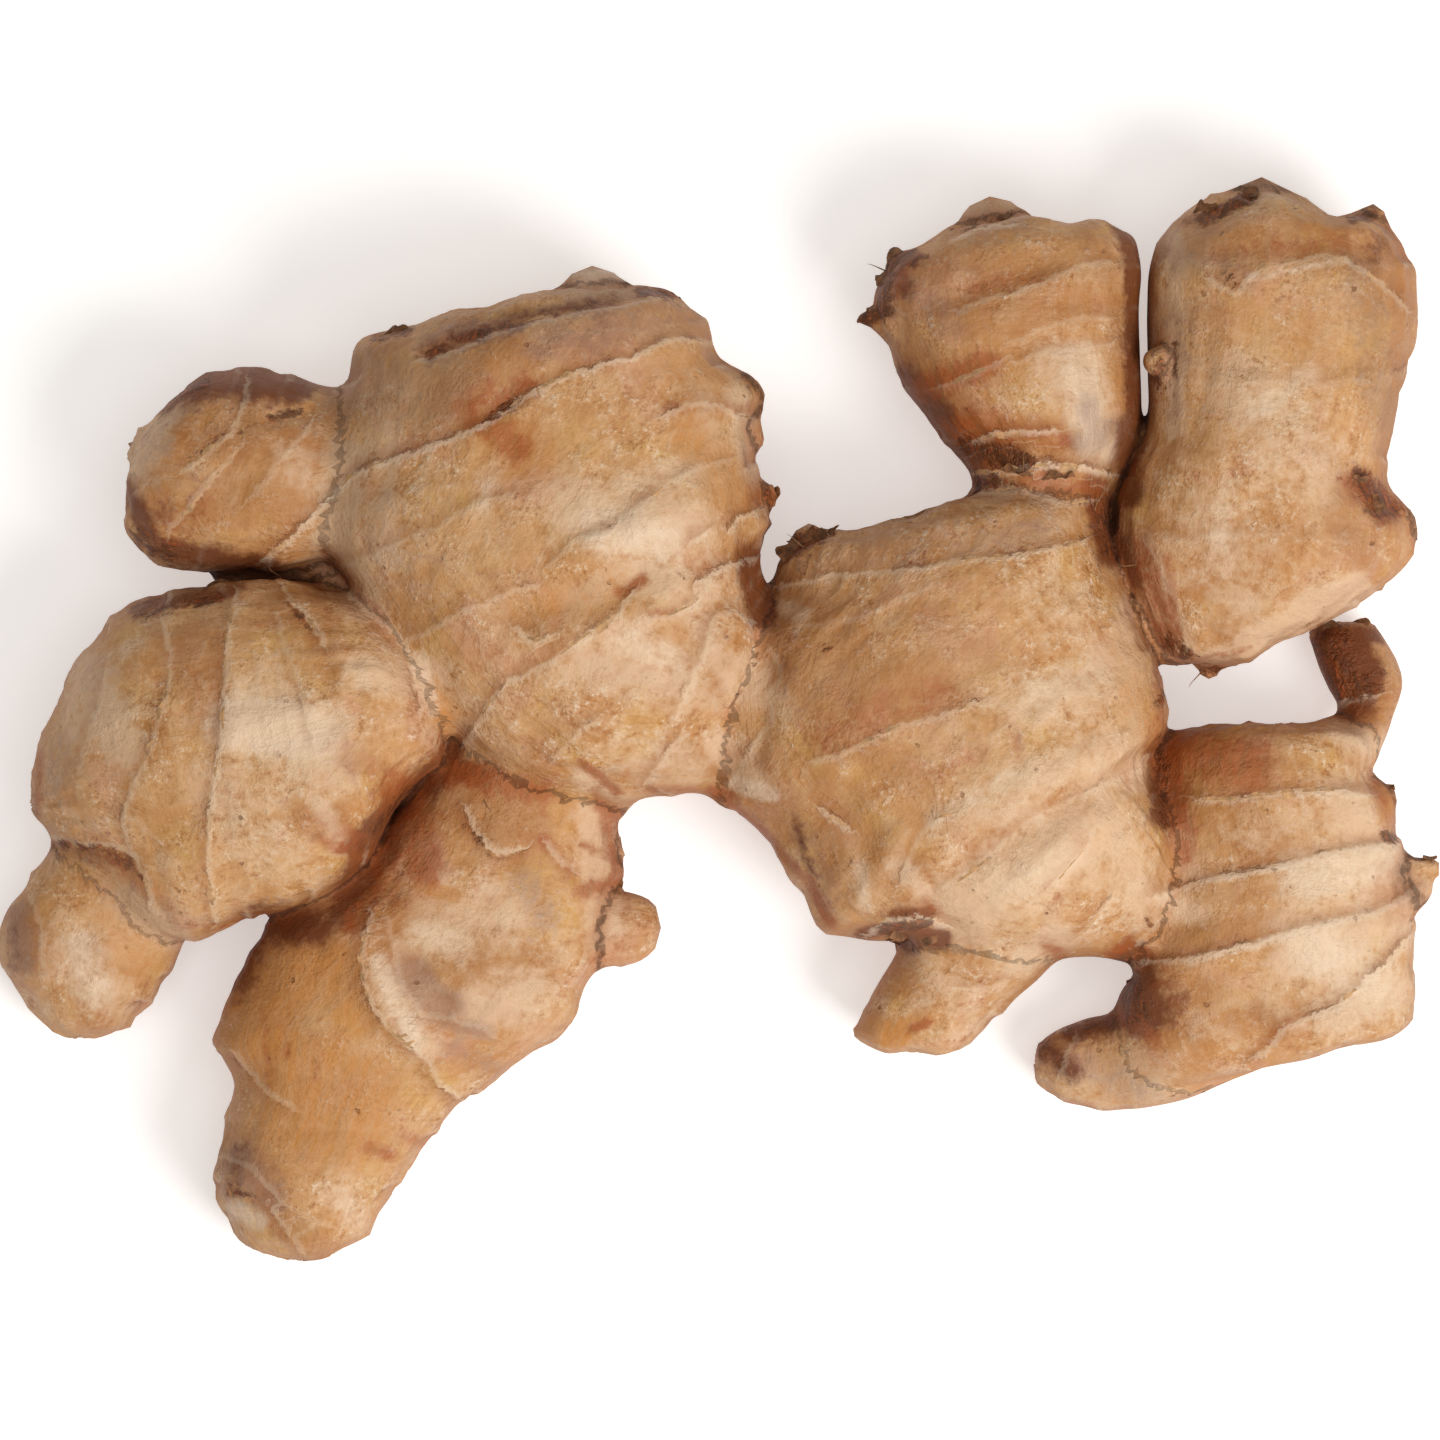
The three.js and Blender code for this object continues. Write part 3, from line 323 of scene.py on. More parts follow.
# Stains, wear and scars, and painted light and shade, seen from above: [x, y, x, y, reach, strength] is a
# stroke between two points.
SPOTS = {
    # Paler skin, and painted light that brightens the lit sides and lifts shaded corners.
    "pale": [
        [-14, -22, -13, -26, 1.4, 0.8], [85, -20, 88.4, -22, 2, 1.2], [3.4, 38, 3.6, 32, 1.4, 0.8],
        [-22, -26, -19, -29, 3, 0.5], [-41, 38, -41, 20, 2.4, 0.6], [-50, -10, -46.6, -16, 1.4, 0.9],
        [22, -18, 25, -21, 1.6, 0.8], [32, 21, 42, 24, 2.4, 0.5], [30, 30, 35, 28.4, 1.6, 0.9],
        [0, 30, -2, 40, 2.2, 0.6], [-46.4, 32.4, -48, 20, 3.2, 0.9], [2, 40, 4, 31, 1.6, 1],
        [3, 7, 7, 2, 2.4, 0.8], [36, -8, 50, -3, 3.4, 0.8], [52.6, 21, 57, 9, 2, 1],
        [58, 6.6, 66, 9.4, 1.4, 0.9], [-13.4, -14, -13.4, -25, 1.5, 1], [57, -12, 59, -19, 1.8, 0.7],
        [-79, 6, -74, -3, 3, 1], [-18, 15, -10, 18, 2.2, 0.8], [-12, 29, -2, 31, 2, 0.8],
        [-17, -7, -13, -9.4, 1.6, 0.9], [-36, -16, -35, -20, 1.8, 0.9], [-47, 20, -44, 14, 2.6, 0.9],
        [-44, 6, -36, 5, 3, 0.9], [-35, -2, -32, -2, 2, 1.2], [-12, 17, -6, 17, 2.4, 1],
        [-74, -23, -68, -26, 2.6, 1], [-64, -9, -60, -12, 3, 0.7], [32, -11, 38, -12, 2.6, 0.8],
        [50, 14, 51, 10, 1.6, 0.8], [36, -31, 40, -29, 1.2, 1], [55, -22, 59, -24, 2, 0.8],
        [8, 14, 10, 13, 1.4, 0.8], [60, -37.6, 64, -39.6, 2.2, 0.5], [56.4, 60, 56.4, 36, 1.5, 0.9],
        [72, 13.8, 79, 16.4, 1.8, 1.2], [-18, 54, -12, 55, 2.2, 1.2], [31, 62.8, 37, 63.2, 1.5, 1],
        [65, 66, 70, 65.6, 1.4, 0.9], [0, -3, 4, -7, 2.2, 1], [-3, 12, 2, 4, 2.6, 0.7],
        [78, -10, 84, -26, 4, 0.9], [-16, -12, -15, -27, 2.2, 0.9], [-80, 8, -81, -2, 2.4, 0.6],
        [38, -30, 42, -27, 2.4, 0.9], [66, 10, 80, 15, 2.4, 1], [77, -1.6, 82, -3, 2, 0.8],
        [51, 4, 52, -8, 1.8, 0.8], [30, -23, 44, -15, 6, 0.9], [38, 2, 50, 6, 5, 0.7],
        [46, -6, 52, -22, 4, 0.8], [74, -19, 84, -17, 5, 0.8], [72, -29, 84, -24, 5, 0.9],
        [76, -36, 84, -34, 4, 0.9], [64, -14, 80, -12, 3, 0.5], [-18, 26, -4, 24, 5, 0.8],
        [-16, 8, -4, 4, 5, 0.7], [-12, -4, -4, -6, 4, 0.6], [-57, 2, -50, -4, 6, 0.8],
        [-60, -12, -52, -18, 5, 0.5], [42, 44, 47, 36, 4, 0.7], [64, 42, 74, 30, 6, 0.6],
        [60, 26, 66, 14, 5, 0.6], [-36, -26, -26, -24, 5, 0.7], [-30, -36, -24, -34, 4, 0.8],
        [-42, -32, -37, -41, 2, 0.9], [-82, -29, -76, -35, 4, 0.6], [-48, -58, -45, -62, 3, 0.5],
        [26, -30, 32, -38, 4, 0.5], [44, -45, 54, -46, 3, 0.6], [40, 16, 44, 12, 5, 0.5],
        [-50, 28, -54, 33, 3, 0.5], [-72.6, 32, -70, 38, 3, 0.9], [-48.6, 18.6, -46, 17, 1.8, 0.8],
        [-10, 11, 0, 17, 3, 0.6],
    ],
    # Brown stains, and painted shade in the folds and slots.
    "brown": [
        [-31, 42, -24, 45, 2.4, 1.1], [54, -31, 60, -34, 2.6, 0.8], [55.6, -38.4, 59, -38.6, 2, 0.9],
        [46, 60, 49.6, 52, 2.2, 0.7], [26, -21, 27.6, -24, 2.4, 1.3], [29.4, -20.6, 30, -26, 2.4, 0.9],
        [-71, 30, -68, 28, 1.6, 0.8], [-48, 37, -46.6, 33, 1.8, 0.6], [-64, 8, -60, 3, 3, 0.5],
        [-29, 38, -24, 35.6, 2, 0.6], [-34, 42, -28, 34, 2.6, 0.6], [-47.6, -12, -44, -18, 1.6, 1.2],
        [0, 10, -1, 4, 2, 0.7], [-12, -6, -3, -8, 2, 0.7], [25, 44, 32, 34, 3.6, 1],
        [44, 42, 47, 34, 2.4, 1], [84.4, 40, 83, 28, 2.2, 1], [-58, 36, -51, 33, 2.8, 1.1],
        [-65, 9, -62, 1, 3.4, 1.1], [-32, -33, -28, -36, 2.4, 0.9], [-79, -29, -78, -37, 2.4, 1.1],
        [13, -8, 14, -18, 2.4, 0.9], [72, 46, 80, 42, 4, 0.4], [76, 26, 80, 20, 2.4, 0.8],
        [-20, 9, -10, 5, 2.4, 0.5], [-26, 12, -28, 18, 2, 0.6], [-50, 10, -48, 13, 1.4, 0.8],
        [-66, 36, -60, 34, 3, 1], [34, 42, 42, 45, 3, 0.6], [47, 27, 48, 22, 1.6, 1],
        [-24, 16, -28, 30, 2, 0.4], [-55, -63, -50, -66, 2, 0.8], [-80, -14, -76, -16, 1.6, 0.6],
        [67, -36, 69, -39, 1.4, 0.9], [-43, 46, -39, 47, 1.2, 0.8], [-4, 50, -9, 52, 2, 0.6],
        [3, 22, 5, 14, 1.4, 1.2], [84.8, 60, 85.2, 36, 1.8, 1.1], [26, -27.8, 31, -27.4, 2, 1.2],
        [23.6, -22.6, 28, -22, 1.8, 1], [31, -17, 35, -13.6, 1.3, 0.9], [-56, -27, -48, -29, 3, 0.9],
        [-34, 40, -26, 46, 3, 0.9], [-46, -5, -36, -8, 2, 0.6], [-68, 26, -54, 28, 5, 0.7],
        [-36, -10, -24, -13, 4, 0.9], [-40, -27, -24, -31, 4, 1], [-87, -24, -84, -28, 3, 0.7],
        [12, 12, 18, 4, 5, 0.7], [26, 12, 33, 8, 4, 0.6], [14, 0, 24, -8, 4, 0.6],
        [24, -19, 28, -21, 2.2, 0.9], [12, -25.6, 19, -27, 1.2, 0.9], [-58.6, 10, -57.6, 0, 2.4, 0.5],
        [62, -12, 68, -15, 3.4, 1.1], [70, -28.4, 77, -29, 3, 0.8], [30, 50, 46, 52, 4, 0.6],
        [60, 50, 65, 38, 4, 0.6], [62, 22, 64, 10, 3, 0.9], [74, 34, 78, 28, 3, 0.6],
        [74, 57, 84, 58, 3, 0.8], [-4, -5, 8, -12, 3.6, 0.8], [9, 14, 9, 4, 4, 0.9],
        [12, 2, 26, 5, 5, 0.85], [57, -9, 58, -24, 3, 0.5], [62, -22, 72, -21, 2.4, 0.5],
        [56, -27, 68, -25, 2.2, 0.7], [-40, 24, -36, 14, 5, 0.25], [-30, 44, -14, 47, 3, 0.6],
        [-58, -32, -56, -42, 5, 0.8], [-48, -20, -40, -28, 3, 0.5], [24, 56, 40, 57, 4, 0.6],
        [60, 60, 78, 61, 3, 0.7], [-64, 40, -56, 40, 4, 0.6], [44, -40, 54, -40, 2.4, 0.4],
        [55, -33, 57.6, -35, 2.6, 0.6], [16, -10, 20, -18, 4, 0.6], [24, -30, 26, -33, 3, 0.5],
        [76, 10, 80, 3, 5, 1.2], [-48, 41, -47, 37, 2.4, 0.7], [-58, -54, -56, -60, 4, 0.6],
        [48, 58, 51, 40, 2, 0.7], [70, 55, 80, 50, 4, 0.4],
    ],
    # Dark red-brown stains, and painted shadow in the hollows, slots and notches between lobes.
    "umber": [
        [46.6, 29, 48.6, 20.6, 1.7, 1.1], [21.4, -24.2, 26, -23.8, 0.8, 1],
        [54.6, -33, 57.6, -34.6, 1.6, 0.6], [22.8, -27.4, 24, -27.8, 1.2, 1.3],
        [-34, -5.6, -30, -7, 1.5, 1.1], [45.6, 39, 47, 35, 1.6, 0.8], [-57, -25, -50, -26, 2.6, 1],
        [-47, -24, -42, -15, 2.6, 1], [-41, -12, -33.4, -4.6, 2, 1], [-58, -27, -60, -33, 2, 0.8],
        [-70, 40.6, -63, 42.6, 2.5, 1.1], [-62, 42.8, -53, 41.8, 2.5, 1.2], [-74, 29, -71, 23, 1.5, 0.9],
        [-70, 21.4, -56, 19, 1.6, 1], [-73, 24, -66, 26, 2.4, 0.4], [-73, 14, -60, 16, 1.1, 0.8],
        [49.8, 61.6, 51.4, 58, 1.4, 0.9], [51.4, 58, 51.6, 38, 1.4, 1], [44, 34.6, 50.6, 37, 2, 0.7],
        [50.6, 36, 51, 28, 1.8, 1], [22.6, 41, 30.6, 32.4, 2.9, 1.5], [32, 33.6, 37, 32.6, 2, 0.9],
        [51.4, -30, 52.6, -37, 2.3, 1.8], [52, -33, 55.6, -36.4, 2.2, 0.8], [41, -41, 44, -44, 1.7, 0.8],
        [44, -39, 50, -37.6, 1.8, 0.8], [17.6, -26.6, 22, -25.6, 0.8, 1.2], [75.8, 9.5, 76.8, 6, 1.6, 1.3],
        [77, 9, 79.4, 2.4, 2.6, 1.4], [79.6, 9.8, 81.4, 5.6, 1.8, 1.2], [79, 10.8, 82.4, 10.6, 1.2, 1],
        [3.8, 20, 5.4, 13, 1.9, 1.2], [55.4, -4.4, 55.6, -11.6, 2, 1.3], [57.6, -3.4, 62, -3, 1.5, 0.5],
        [9, 14, 8, 2, 2, 0.35], [9.2, -12, 12.4, -23, 0.8, 0.6], [50, 22, 52, 17, 1.4, 0.8],
        [79.6, 30, 83, 26, 1.8, 0.9], [20.6, 57, 23, 54, 1.6, 0.8], [58, 62, 66, 65, 1, 0.6],
        [81, 58, 83, 61, 2, 0.5], [-36, 45.6, -24, 50, 1.5, 0.75], [-24, 50, -13, 52, 1.2, 0.6],
        [-30, 37, -24, 40.6, 1.6, 0.7], [7.4, 21.6, 10.4, 22.2, 1.6, 0.8],
        [-84, -15.6, -74, -17.6, 1.5, 0.6], [-88.6, -26, -88, -31, 1.6, 0.4],
        [-60, -54, -60.6, -60, 1.6, 0.5], [-39, -9, -45, -16, 1.5, 1.3], [24, -27, 27.4, -27.2, 1.3, 1.3],
    ],
    # Orange-brown stains; the first four strokes also warm the shaded creases as painted shade.
    "rust": [
        [-76, -17, -66, -26, 1.7, 0.7], [-49, 21, -42, 12, 1.3, 0.8], [-46, -26, -42, -19, 1.8, 0.8],
        [52, 22, 55.6, 10, 1.7, 0.9], [-9, -8.6, -1, -8.8, 0.8, 0.8], [-1.4, -8.8, 1.4, -9.4, 0.9, 1.1],
        [55, -32, 58, -36.6, 2.4, 0.5], [25.4, -22.4, 26.8, -23.6, 1, 0.7],
        [-17, -5.4, -12.6, -9, 0.8, 1.1], [-17, -15.6, -12, -18, 0.7, 0.8], [-36, -3, -30, -8, 2.4, 0.7],
        [-84.6, -4, -85.4, -14, 0.8, 0.8], [-52, -13, -45, -17, 1.4, 0.8], [-57, 12, -49, 13.6, 1.2, 0.6],
        [55.4, 20, 57, 10, 1, 0.8], [-31, 37, -24, 41.4, 2, 0.9], [-28.4, 36, -25, 33.6, 2.6, 1],
        [-31.4, 38.4, -28.6, 40.2, 2, 0.9], [2, -4, 5, -6, 1.6, 0.6], [-40, -9, -36.6, -18, 3.2, 1.2],
        [-33, -6.6, -22, -9, 2.4, 1], [-43, -17, -40, -23, 2.2, 0.8], [-22, -15, -18.4, -19, 1.3, 0.8],
        [-17, -21.4, -12, -20, 1.5, 1], [-14.6, -10.6, -12, -13, 1.6, 1], [-52, -11.6, -45, -15, 2, 0.7],
        [-47, -4, -39, -8, 2.6, 0.6], [-49, 8.6, -46, 9, 1, 0.7], [-43.6, -53.4, -41, -54.4, 1.2, 0.9],
        [-39.6, -51.6, -37, -53, 1, 0.7], [55, 7, 54.6, -1, 1.4, 0.7], [53, 21, 56.4, 9.6, 1.5, 0.9],
        [57, 8, 62, 6.4, 1.3, 0.7], [57, -4, 66, -6, 4, 1.2], [57, -8, 58, -16, 2.6, 0.9],
        [50.6, -36.6, 54, -40, 1.8, 0.8], [60, -36.6, 66, -38.8, 1.6, 0.5], [68, -40, 70.6, -38, 1.2, 0.8],
        [31, 53.4, 40, 55.4, 1.5, 0.7], [26, 41.6, 33, 44, 2.2, 1.1], [30, 36.6, 42, 35, 2.4, 0.9],
        [33, 31, 47, 29, 2.2, 0.8], [62, 58, 80, 59.6, 2.2, 0.6], [79, 29, 83.4, 26, 2.6, 1],
        [75, 11, 80, 2, 2.6, 0.6], [13, -2, 28, 3.4, 4.2, 0.6], [27, -7, 32, -4, 2, 0.6],
        [36.6, -1, 37, -5, 1.2, 0.6], [23.6, -38.8, 26, -37.6, 0.7, 1.1], [1, -10, 10.6, -19.6, 0.8, 1],
        [11, -20, 14, -25.6, 0.9, 1], [40, -29.2, 50, -29, 0.8, 0.6], [60, 7.6, 66, 9, 0.7, 0.6],
        [-56, -24.2, -64, -26, 0.8, 0.7], [-15.4, -9, -12.6, -20, 1, 0.9], [40.6, -28, 43.4, -30, 1.3, 0.9],
        [-6.4, 38.6, 4, 38.8, 1, 0.6], [-12, 15.6, -9.6, 17.4, 1, 1], [-8.4, 13, -6, 13.2, 0.8, 0.9],
        [4.6, 28, 6.6, 28, 1.6, 0.9], [13, 9, 13.6, 8.4, 1, 0.7], [24, 22, 40, 24, 2.4, 0.3],
        [48.6, -29.4, 51, -27.6, 1, 1.1], [-70, 22, -64, 26.6, 3, 0.5], [-77, -16, -72, -20, 2, 0.6],
        [20, 52, 24, 57.6, 1.8, 0.8], [81.6, -8.6, 83.6, -13, 1.4, 0.7], [-66, 41, -60, 43.4, 2, 0.4],
        [-57, -36, -56, -46, 0.7, 0.7], [-53.6, -34, -54, -42, 0.6, 0.7],
        [-49.6, -37, -50.6, -45, 0.6, 0.6],
    ],
    "amber": [
        [-36, 4, -33, -3, 1.8, 0.8], [-58, -34, -47, -31, 4.6, 0.9], [-57, -42, -45, -47, 5.6, 1],
        [-55, -50, -45, -52, 4, 0.9], [-50, -33, -44.6, -38, 2.6, 0.8], [18.4, -38.4, 22, -39.6, 1.5, 1.5],
        [22, -38.4, 26, -37.4, 1.1, 1.1], [-8, 44, 0, 44, 4, 0.5], [-24, 14, -12, 16, 3, 0.6],
        [-3, 35, 2.6, 27, 3.2, 0.7], [50, 8, 53, -2, 3, 0.6], [-27, 35, -23, 33, 3.2, 0.8],
        [-9, 10, -5, 11, 2, 0.5], [-66, -10, -64, -20, 4, 0.4], [64, 52, 72, 46, 5, 0.4],
        [-36, -21, -33, -21.8, 0.9, 1.2], [40, 52, 46, 51, 4, 0.4], [82.6, -9, 83, -12, 1, 0.8],
        [-76, -24, -72, -30, 3, 0.5],
    ],
    "mauve": [
        [-33, -41, -28, -43.6, 2, 0.6], [-38.6, -31.4, -34, -35.8, 2.1, 1.2],
        [-24, -20, -22, -25, 2.6, 0.6], [-34, -37.4, -29, -39, 1.2, 0.9], [-78, 7, -76, -5, 4, 0.35],
        [-88, -24.6, -87, -30, 2, 1], [10.6, -15, 14, -22, 1.5, 0.5], [14, 20, 40, 24, 2.6, 0.5],
        [-42, 27, -37, 15, 5, 0.3], [-22, 46.4, -8, 49, 3, 0.7], [-60.6, -55, -56, -59.4, 3, 0.9],
        [57, 58, 64, 56, 4, 0.6], [42, -42, 52, -46, 3, 0.6], [-36.6, 47, -31, 49, 1.4, 0.9],
        [-82, -4, -83, -12, 3.4, 0.5], [22, 54, 28, 50, 3, 0.6], [-70, 34, -66, 30, 3.4, 0.4],
        [56, 50, 57, 38, 2.6, 0.5],
    ],
    # Grey-brown dusty skin, partly painted shade on the upper ends and sides of the lobes.
    "grey": [
        [80, 56, 82.4, 38, 3.4, 0.7], [-46, 42, -34, 40, 5, 1], [-18, 54, -12, 54.6, 3.6, 0.9],
        [-72, 33, -69, 37, 3, 0.4], [32, 62.6, 38, 62, 3.6, 0.6], [66, 65.6, 71, 65, 2.6, 0.5],
        [-40, 48, -26, 51.4, 1.8, 0.5], [-48, 40, -48, 34, 2.6, 0.8], [-56, -34, -57, -30, 4, 0.3],
    ],
    # Silvery peeling skin, and painted highlights and sheen on the lit ridges and patches.
    "silver": [
        [-17, 55, -12, 55.4, 1.6, 0.8], [-60, -0.6, -50, -1.6, 3.6, 1.2], [-15, 24, -8, 22, 3.6, 0.9],
        [-12, 10.6, -5, 7, 2.6, 0.7], [-37, -26.6, -32, -27.6, 2, 0.6], [35, -21, 43, -17, 2.8, 0.6],
        [39, 3, 50, 8, 4, 0.5], [45, 45, 46.6, 33, 2.8, 0.9], [66.6, 38.4, 73, 43, 2, 0.7],
        [63, 29, 62, 22, 1.8, 0.6], [72, -19.6, 83, -17.6, 3, 0.9], [74, -28, 81, -33, 4, 0.9],
        [-80, -27, -78, -34, 3, 0.7], [2, -8, 6.4, -9.2, 1, 1.2], [-49.6, 27, -45, 31, 0.6, 0.9],
        [-37, 8, -35.6, 1, 0.9, 1], [-42.6, -30, -38, -40, 1.2, 1], [-28, 31, -29.6, 26, 1.6, 0.6],
        [26.6, -12, 36, -7, 1.6, 0.6], [17.4, -18, 18, -23, 1, 0.8], [-60.6, -61, -57.6, -62.6, 1.5, 0.9],
        [-49, -59, -46, -61, 2, 0.6], [65.4, 54.8, 78, 57, 0.6, 0.8], [60, -19.8, 84, -15.8, 0.6, 0.8],
        [58, -30.2, 86, -22.4, 0.6, 0.8], [74, 40, 76, 32, 4, 0.35], [56, 17, 60, 18, 1.6, 0.6],
    ],
    # Dark scars; a few strokes in slots and notches also darken them as painted shadow.
    "scar": [
        [55.2, -2.4, 55.4, -13, 0.9, 0.9], [50.8, -30.6, 52.2, -36.4, 1.1, 1],
        [7.6, 21, 9.4, 21.6, 1.7, 1.2], [9, 22.4, 12.4, 22.8, 1, 1.2], [20, -25.8, 26, -25.2, 0.8, 1.2],
        [20.8, 57.6, 24, 57.6, 1.5, 1.2], [20.4, 52.6, 21, 56.6, 1.1, 1.2], [18, 50, 20.6, 51, 1.2, 1.2],
        [31, 34, 38, 32, 1.5, 1], [31, 30, 36, 29.6, 1, 1.1], [60, 62.3, 66, 65.2, 1, 1.3],
        [79.4, 30, 82, 27.6, 1.5, 1.2], [81, 26, 84, 26, 1.2, 0.9], [-36, 45.4, -30, 47.6, 0.8, 0.7],
        [-30, 47.6, -24, 49.7, 0.9, 0.8], [-24, 49.7, -15.6, 51.6, 0.6, 0.7],
        [-28.6, 37.2, -24.6, 40, 0.8, 0.9], [-43, 47.8, -38.6, 48.4, 1, 0.9], [-10, 53.4, -6.4, 53, 1, 1.1],
        [-73, 23, -69, 20.6, 1.6, 0.9], [-69, 40.4, -64, 42, 0.9, 0.9], [-72.6, 12.8, -62, 15.2, 0.7, 0.9],
        [76.4, 9.8, 79.6, 3.4, 3.2, 0.9], [-82, -15.6, -76, -16, 0.8, 0.9],
        [-76, -16, -71.6, -19.6, 0.7, 0.8], [79, 62.6, 81.4, 63, 1, 1.1], [83, -14.4, 84, -15, 0.9, 1.1],
        [86, -17, 89, -17.4, 0.6, 1.1], [60.6, 6.2, 62.2, 6.4, 0.8, 1], [56.6, 47, 56.6, 42.6, 0.45, 1],
        [54, 43, 55.4, 41, 0.5, 0.9], [54, 45.6, 54.8, 43.6, 1, 0.9], [-55.6, 37.4, -52, 38.4, 0.8, 0.9],
        [-66, 32, -62, 35, 0.5, 0.8], [-50, 10.4, -53.4, 14.4, 0.4, 0.9],
        [41, -40.6, 42.6, -43.6, 0.8, 0.6], [44, -38.6, 50, -38, 0.8, 0.6], [52, -34, 53, -37, 1.4, 0.8],
        [58, 8.4, 56, 10, 1, 0.9], [3, 42.8, 4, 41.6, 1, 0.8], [5.4, 28.6, 6.6, 26, 0.9, 0.8],
        [-12.4, -28, -9.6, -27, 0.8, 0.5], [13, 9, 13.4, 8.8, 0.6, 1], [-61, -59, -57, -59.6, 0.6, 0.7],
        [54.6, 2, 55.6, 4, 0.7, 0.9], [53, -24.6, 53.6, -25.6, 0.4, 1], [-79, -30, -78.6, -32.4, 0.4, 0.8],
        [30, 61, 35, 62.4, 0.5, 0.8], [62, 55.6, 64.6, 53.6, 0.4, 0.8],
        [-31.4, -13, -28.6, -16.4, 0.6, 0.9], [48, 27, 48.4, 21, 0.9, 1], [-38.6, -8.6, -43, -13.6, 0.7, 1],
        [51.2, -34, 51.6, -37.2, 1.3, 1],
    ],
}

# Hollows between lobes, where the joins stay sharper and the creases get deeper painted shade: [x, y, z,
# reach].
HOLLOWS = [
    [-68, 19.4, 12, 3.5], [-63, 18.8, 13, 3.5], [-58, 18.2, 13, 3.5], [-53, 17.8, 13, 3.2],
    [-50, 17.4, 14, 1.6], [-39, -8.5, 17, 3.6], [-43, -14, 15, 4], [-47, -19, 14, 4], [-52, -23, 12, 4],
    [48.8, 25, 19, 3], [50.2, 21, 17, 2.8], [52, 30, 16, 3], [53, 38, 14, 3], [53, 50, 14, 3],
    [56.6, -4, 17, 2.6], [56.6, -9, 17, 2.6], [57, -14, 18, 2], [5.4, 20, 15, 2.6], [6.4, 16.6, 16, 2.2],
    [52, -34, 11, 3], [23, -27, 17, 2], [33, 30, 20, 2.4], [76, 2, 9, 2.6],
]

# Places where the outline swells or dips: [x, y, move in x, move in y, reach].
PULLS = [
    [-38, 50, 0.1, -1.2, 4.5], [-29, 52.3, 0.1, -0.8, 4], [-47.5, 42.8, 0.8, -0.9, 2.5],
    [-3, 52, -0.5, -0.6, 3], [0.8, 46.5, -1.2, -0.9, 3], [-62.5, 17.6, -1, 0, 2], [-82, 4.5, -0.5, 0.1, 4],
    [-84.8, -1.5, -1, 0.2, 3.2], [-86.6, -8.5, 0.8, 0, 3], [-84.8, -14, 0.9, 0.4, 2.6],
    [-88, -21.5, 0.7, -0.4, 2.5], [-87, -36.8, 0.7, 0.8, 3.2], [-75.5, -39.3, -0.2, 0.7, 2.5],
    [-58.2, -27.5, 0.9, 0, 2.3], [-61.5, -42, -1.1, 0, 2.4], [-61.8, -50.5, -0.5, 0, 3.5],
    [-62.2, -60, -1.1, -0.2, 3], [-46.3, -66.2, -0.4, 1.3, 3], [-22.8, -41, -0.3, 0.5, 2.6],
    [-16.3, -34, -0.8, 0.3, 3], [-12.6, -19.6, 1.2, 0, 1.8], [-12.3, -11.3, 0.8, -0.9, 2],
    [0.3, -9.9, 0, -1.2, 2], [4, -12.6, -0.4, 0.6, 2.4], [5.6, 36.5, -1.1, 0, 2.4], [5, 31.5, -0.6, 0, 2],
    [5.8, 24.5, 0.8, 0, 2], [9, 23.6, 0.2, -0.8, 1.6], [17.5, 24.2, 0, -0.9, 3], [23.5, 25.5, 0, -0.6, 3],
    [25, 60, 0.2, -0.7, 3.5], [19.2, 55.5, 0.9, 0, 1.6], [19.4, 49.6, -1.8, 0, 1.6],
    [38.3, 63.6, 0.1, 0.9, 2.4], [44, 62.8, 0, -0.7, 3], [50, 62.3, -0.3, -0.7, 2.8],
    [76.5, 64.5, 0, -1.2, 2.6], [85, 60, -0.8, -0.4, 3.2], [85.5, 42, -0.5, 0, 4], [84, 29, -0.7, 0, 3.2],
    [84, 7.5, 0.6, 0.1, 4], [83.2, -1.5, 0.6, -0.1, 3], [81.8, -6.8, -0.8, 0, 1.6],
    [87.8, -22, 1.9, -0.6, 2.6], [87.3, -35, -0.9, 0, 2.8], [83, -39.2, 0.2, -0.9, 3.6],
    [74, -42.3, 0, -0.5, 4], [66, 8, 0.3, -1, 2.5], [76, 0.6, 0, 0.6, 1.6], [10.3, -22.5, 0.9, 0.8, 2.8],
    [16, -27.6, 0, 0.7, 2.8], [21.3, -28.7, 1.9, 1.4, 2.4], [20.5, -41, 0, -1, 2.8],
    [27.5, -41.3, 0, -0.9, 3], [42.5, -31, -0.4, 0.9, 2.8], [49, -29.8, 0, -0.5, 2.2],
    [50.8, -32, 0.9, 0, 1.8], [48.6, -35.8, 0.9, -0.9, 2.2], [43.5, -37.6, 0, -0.6, 2.8],
    [39.2, -42, 0.6, 0, 3.2],
]

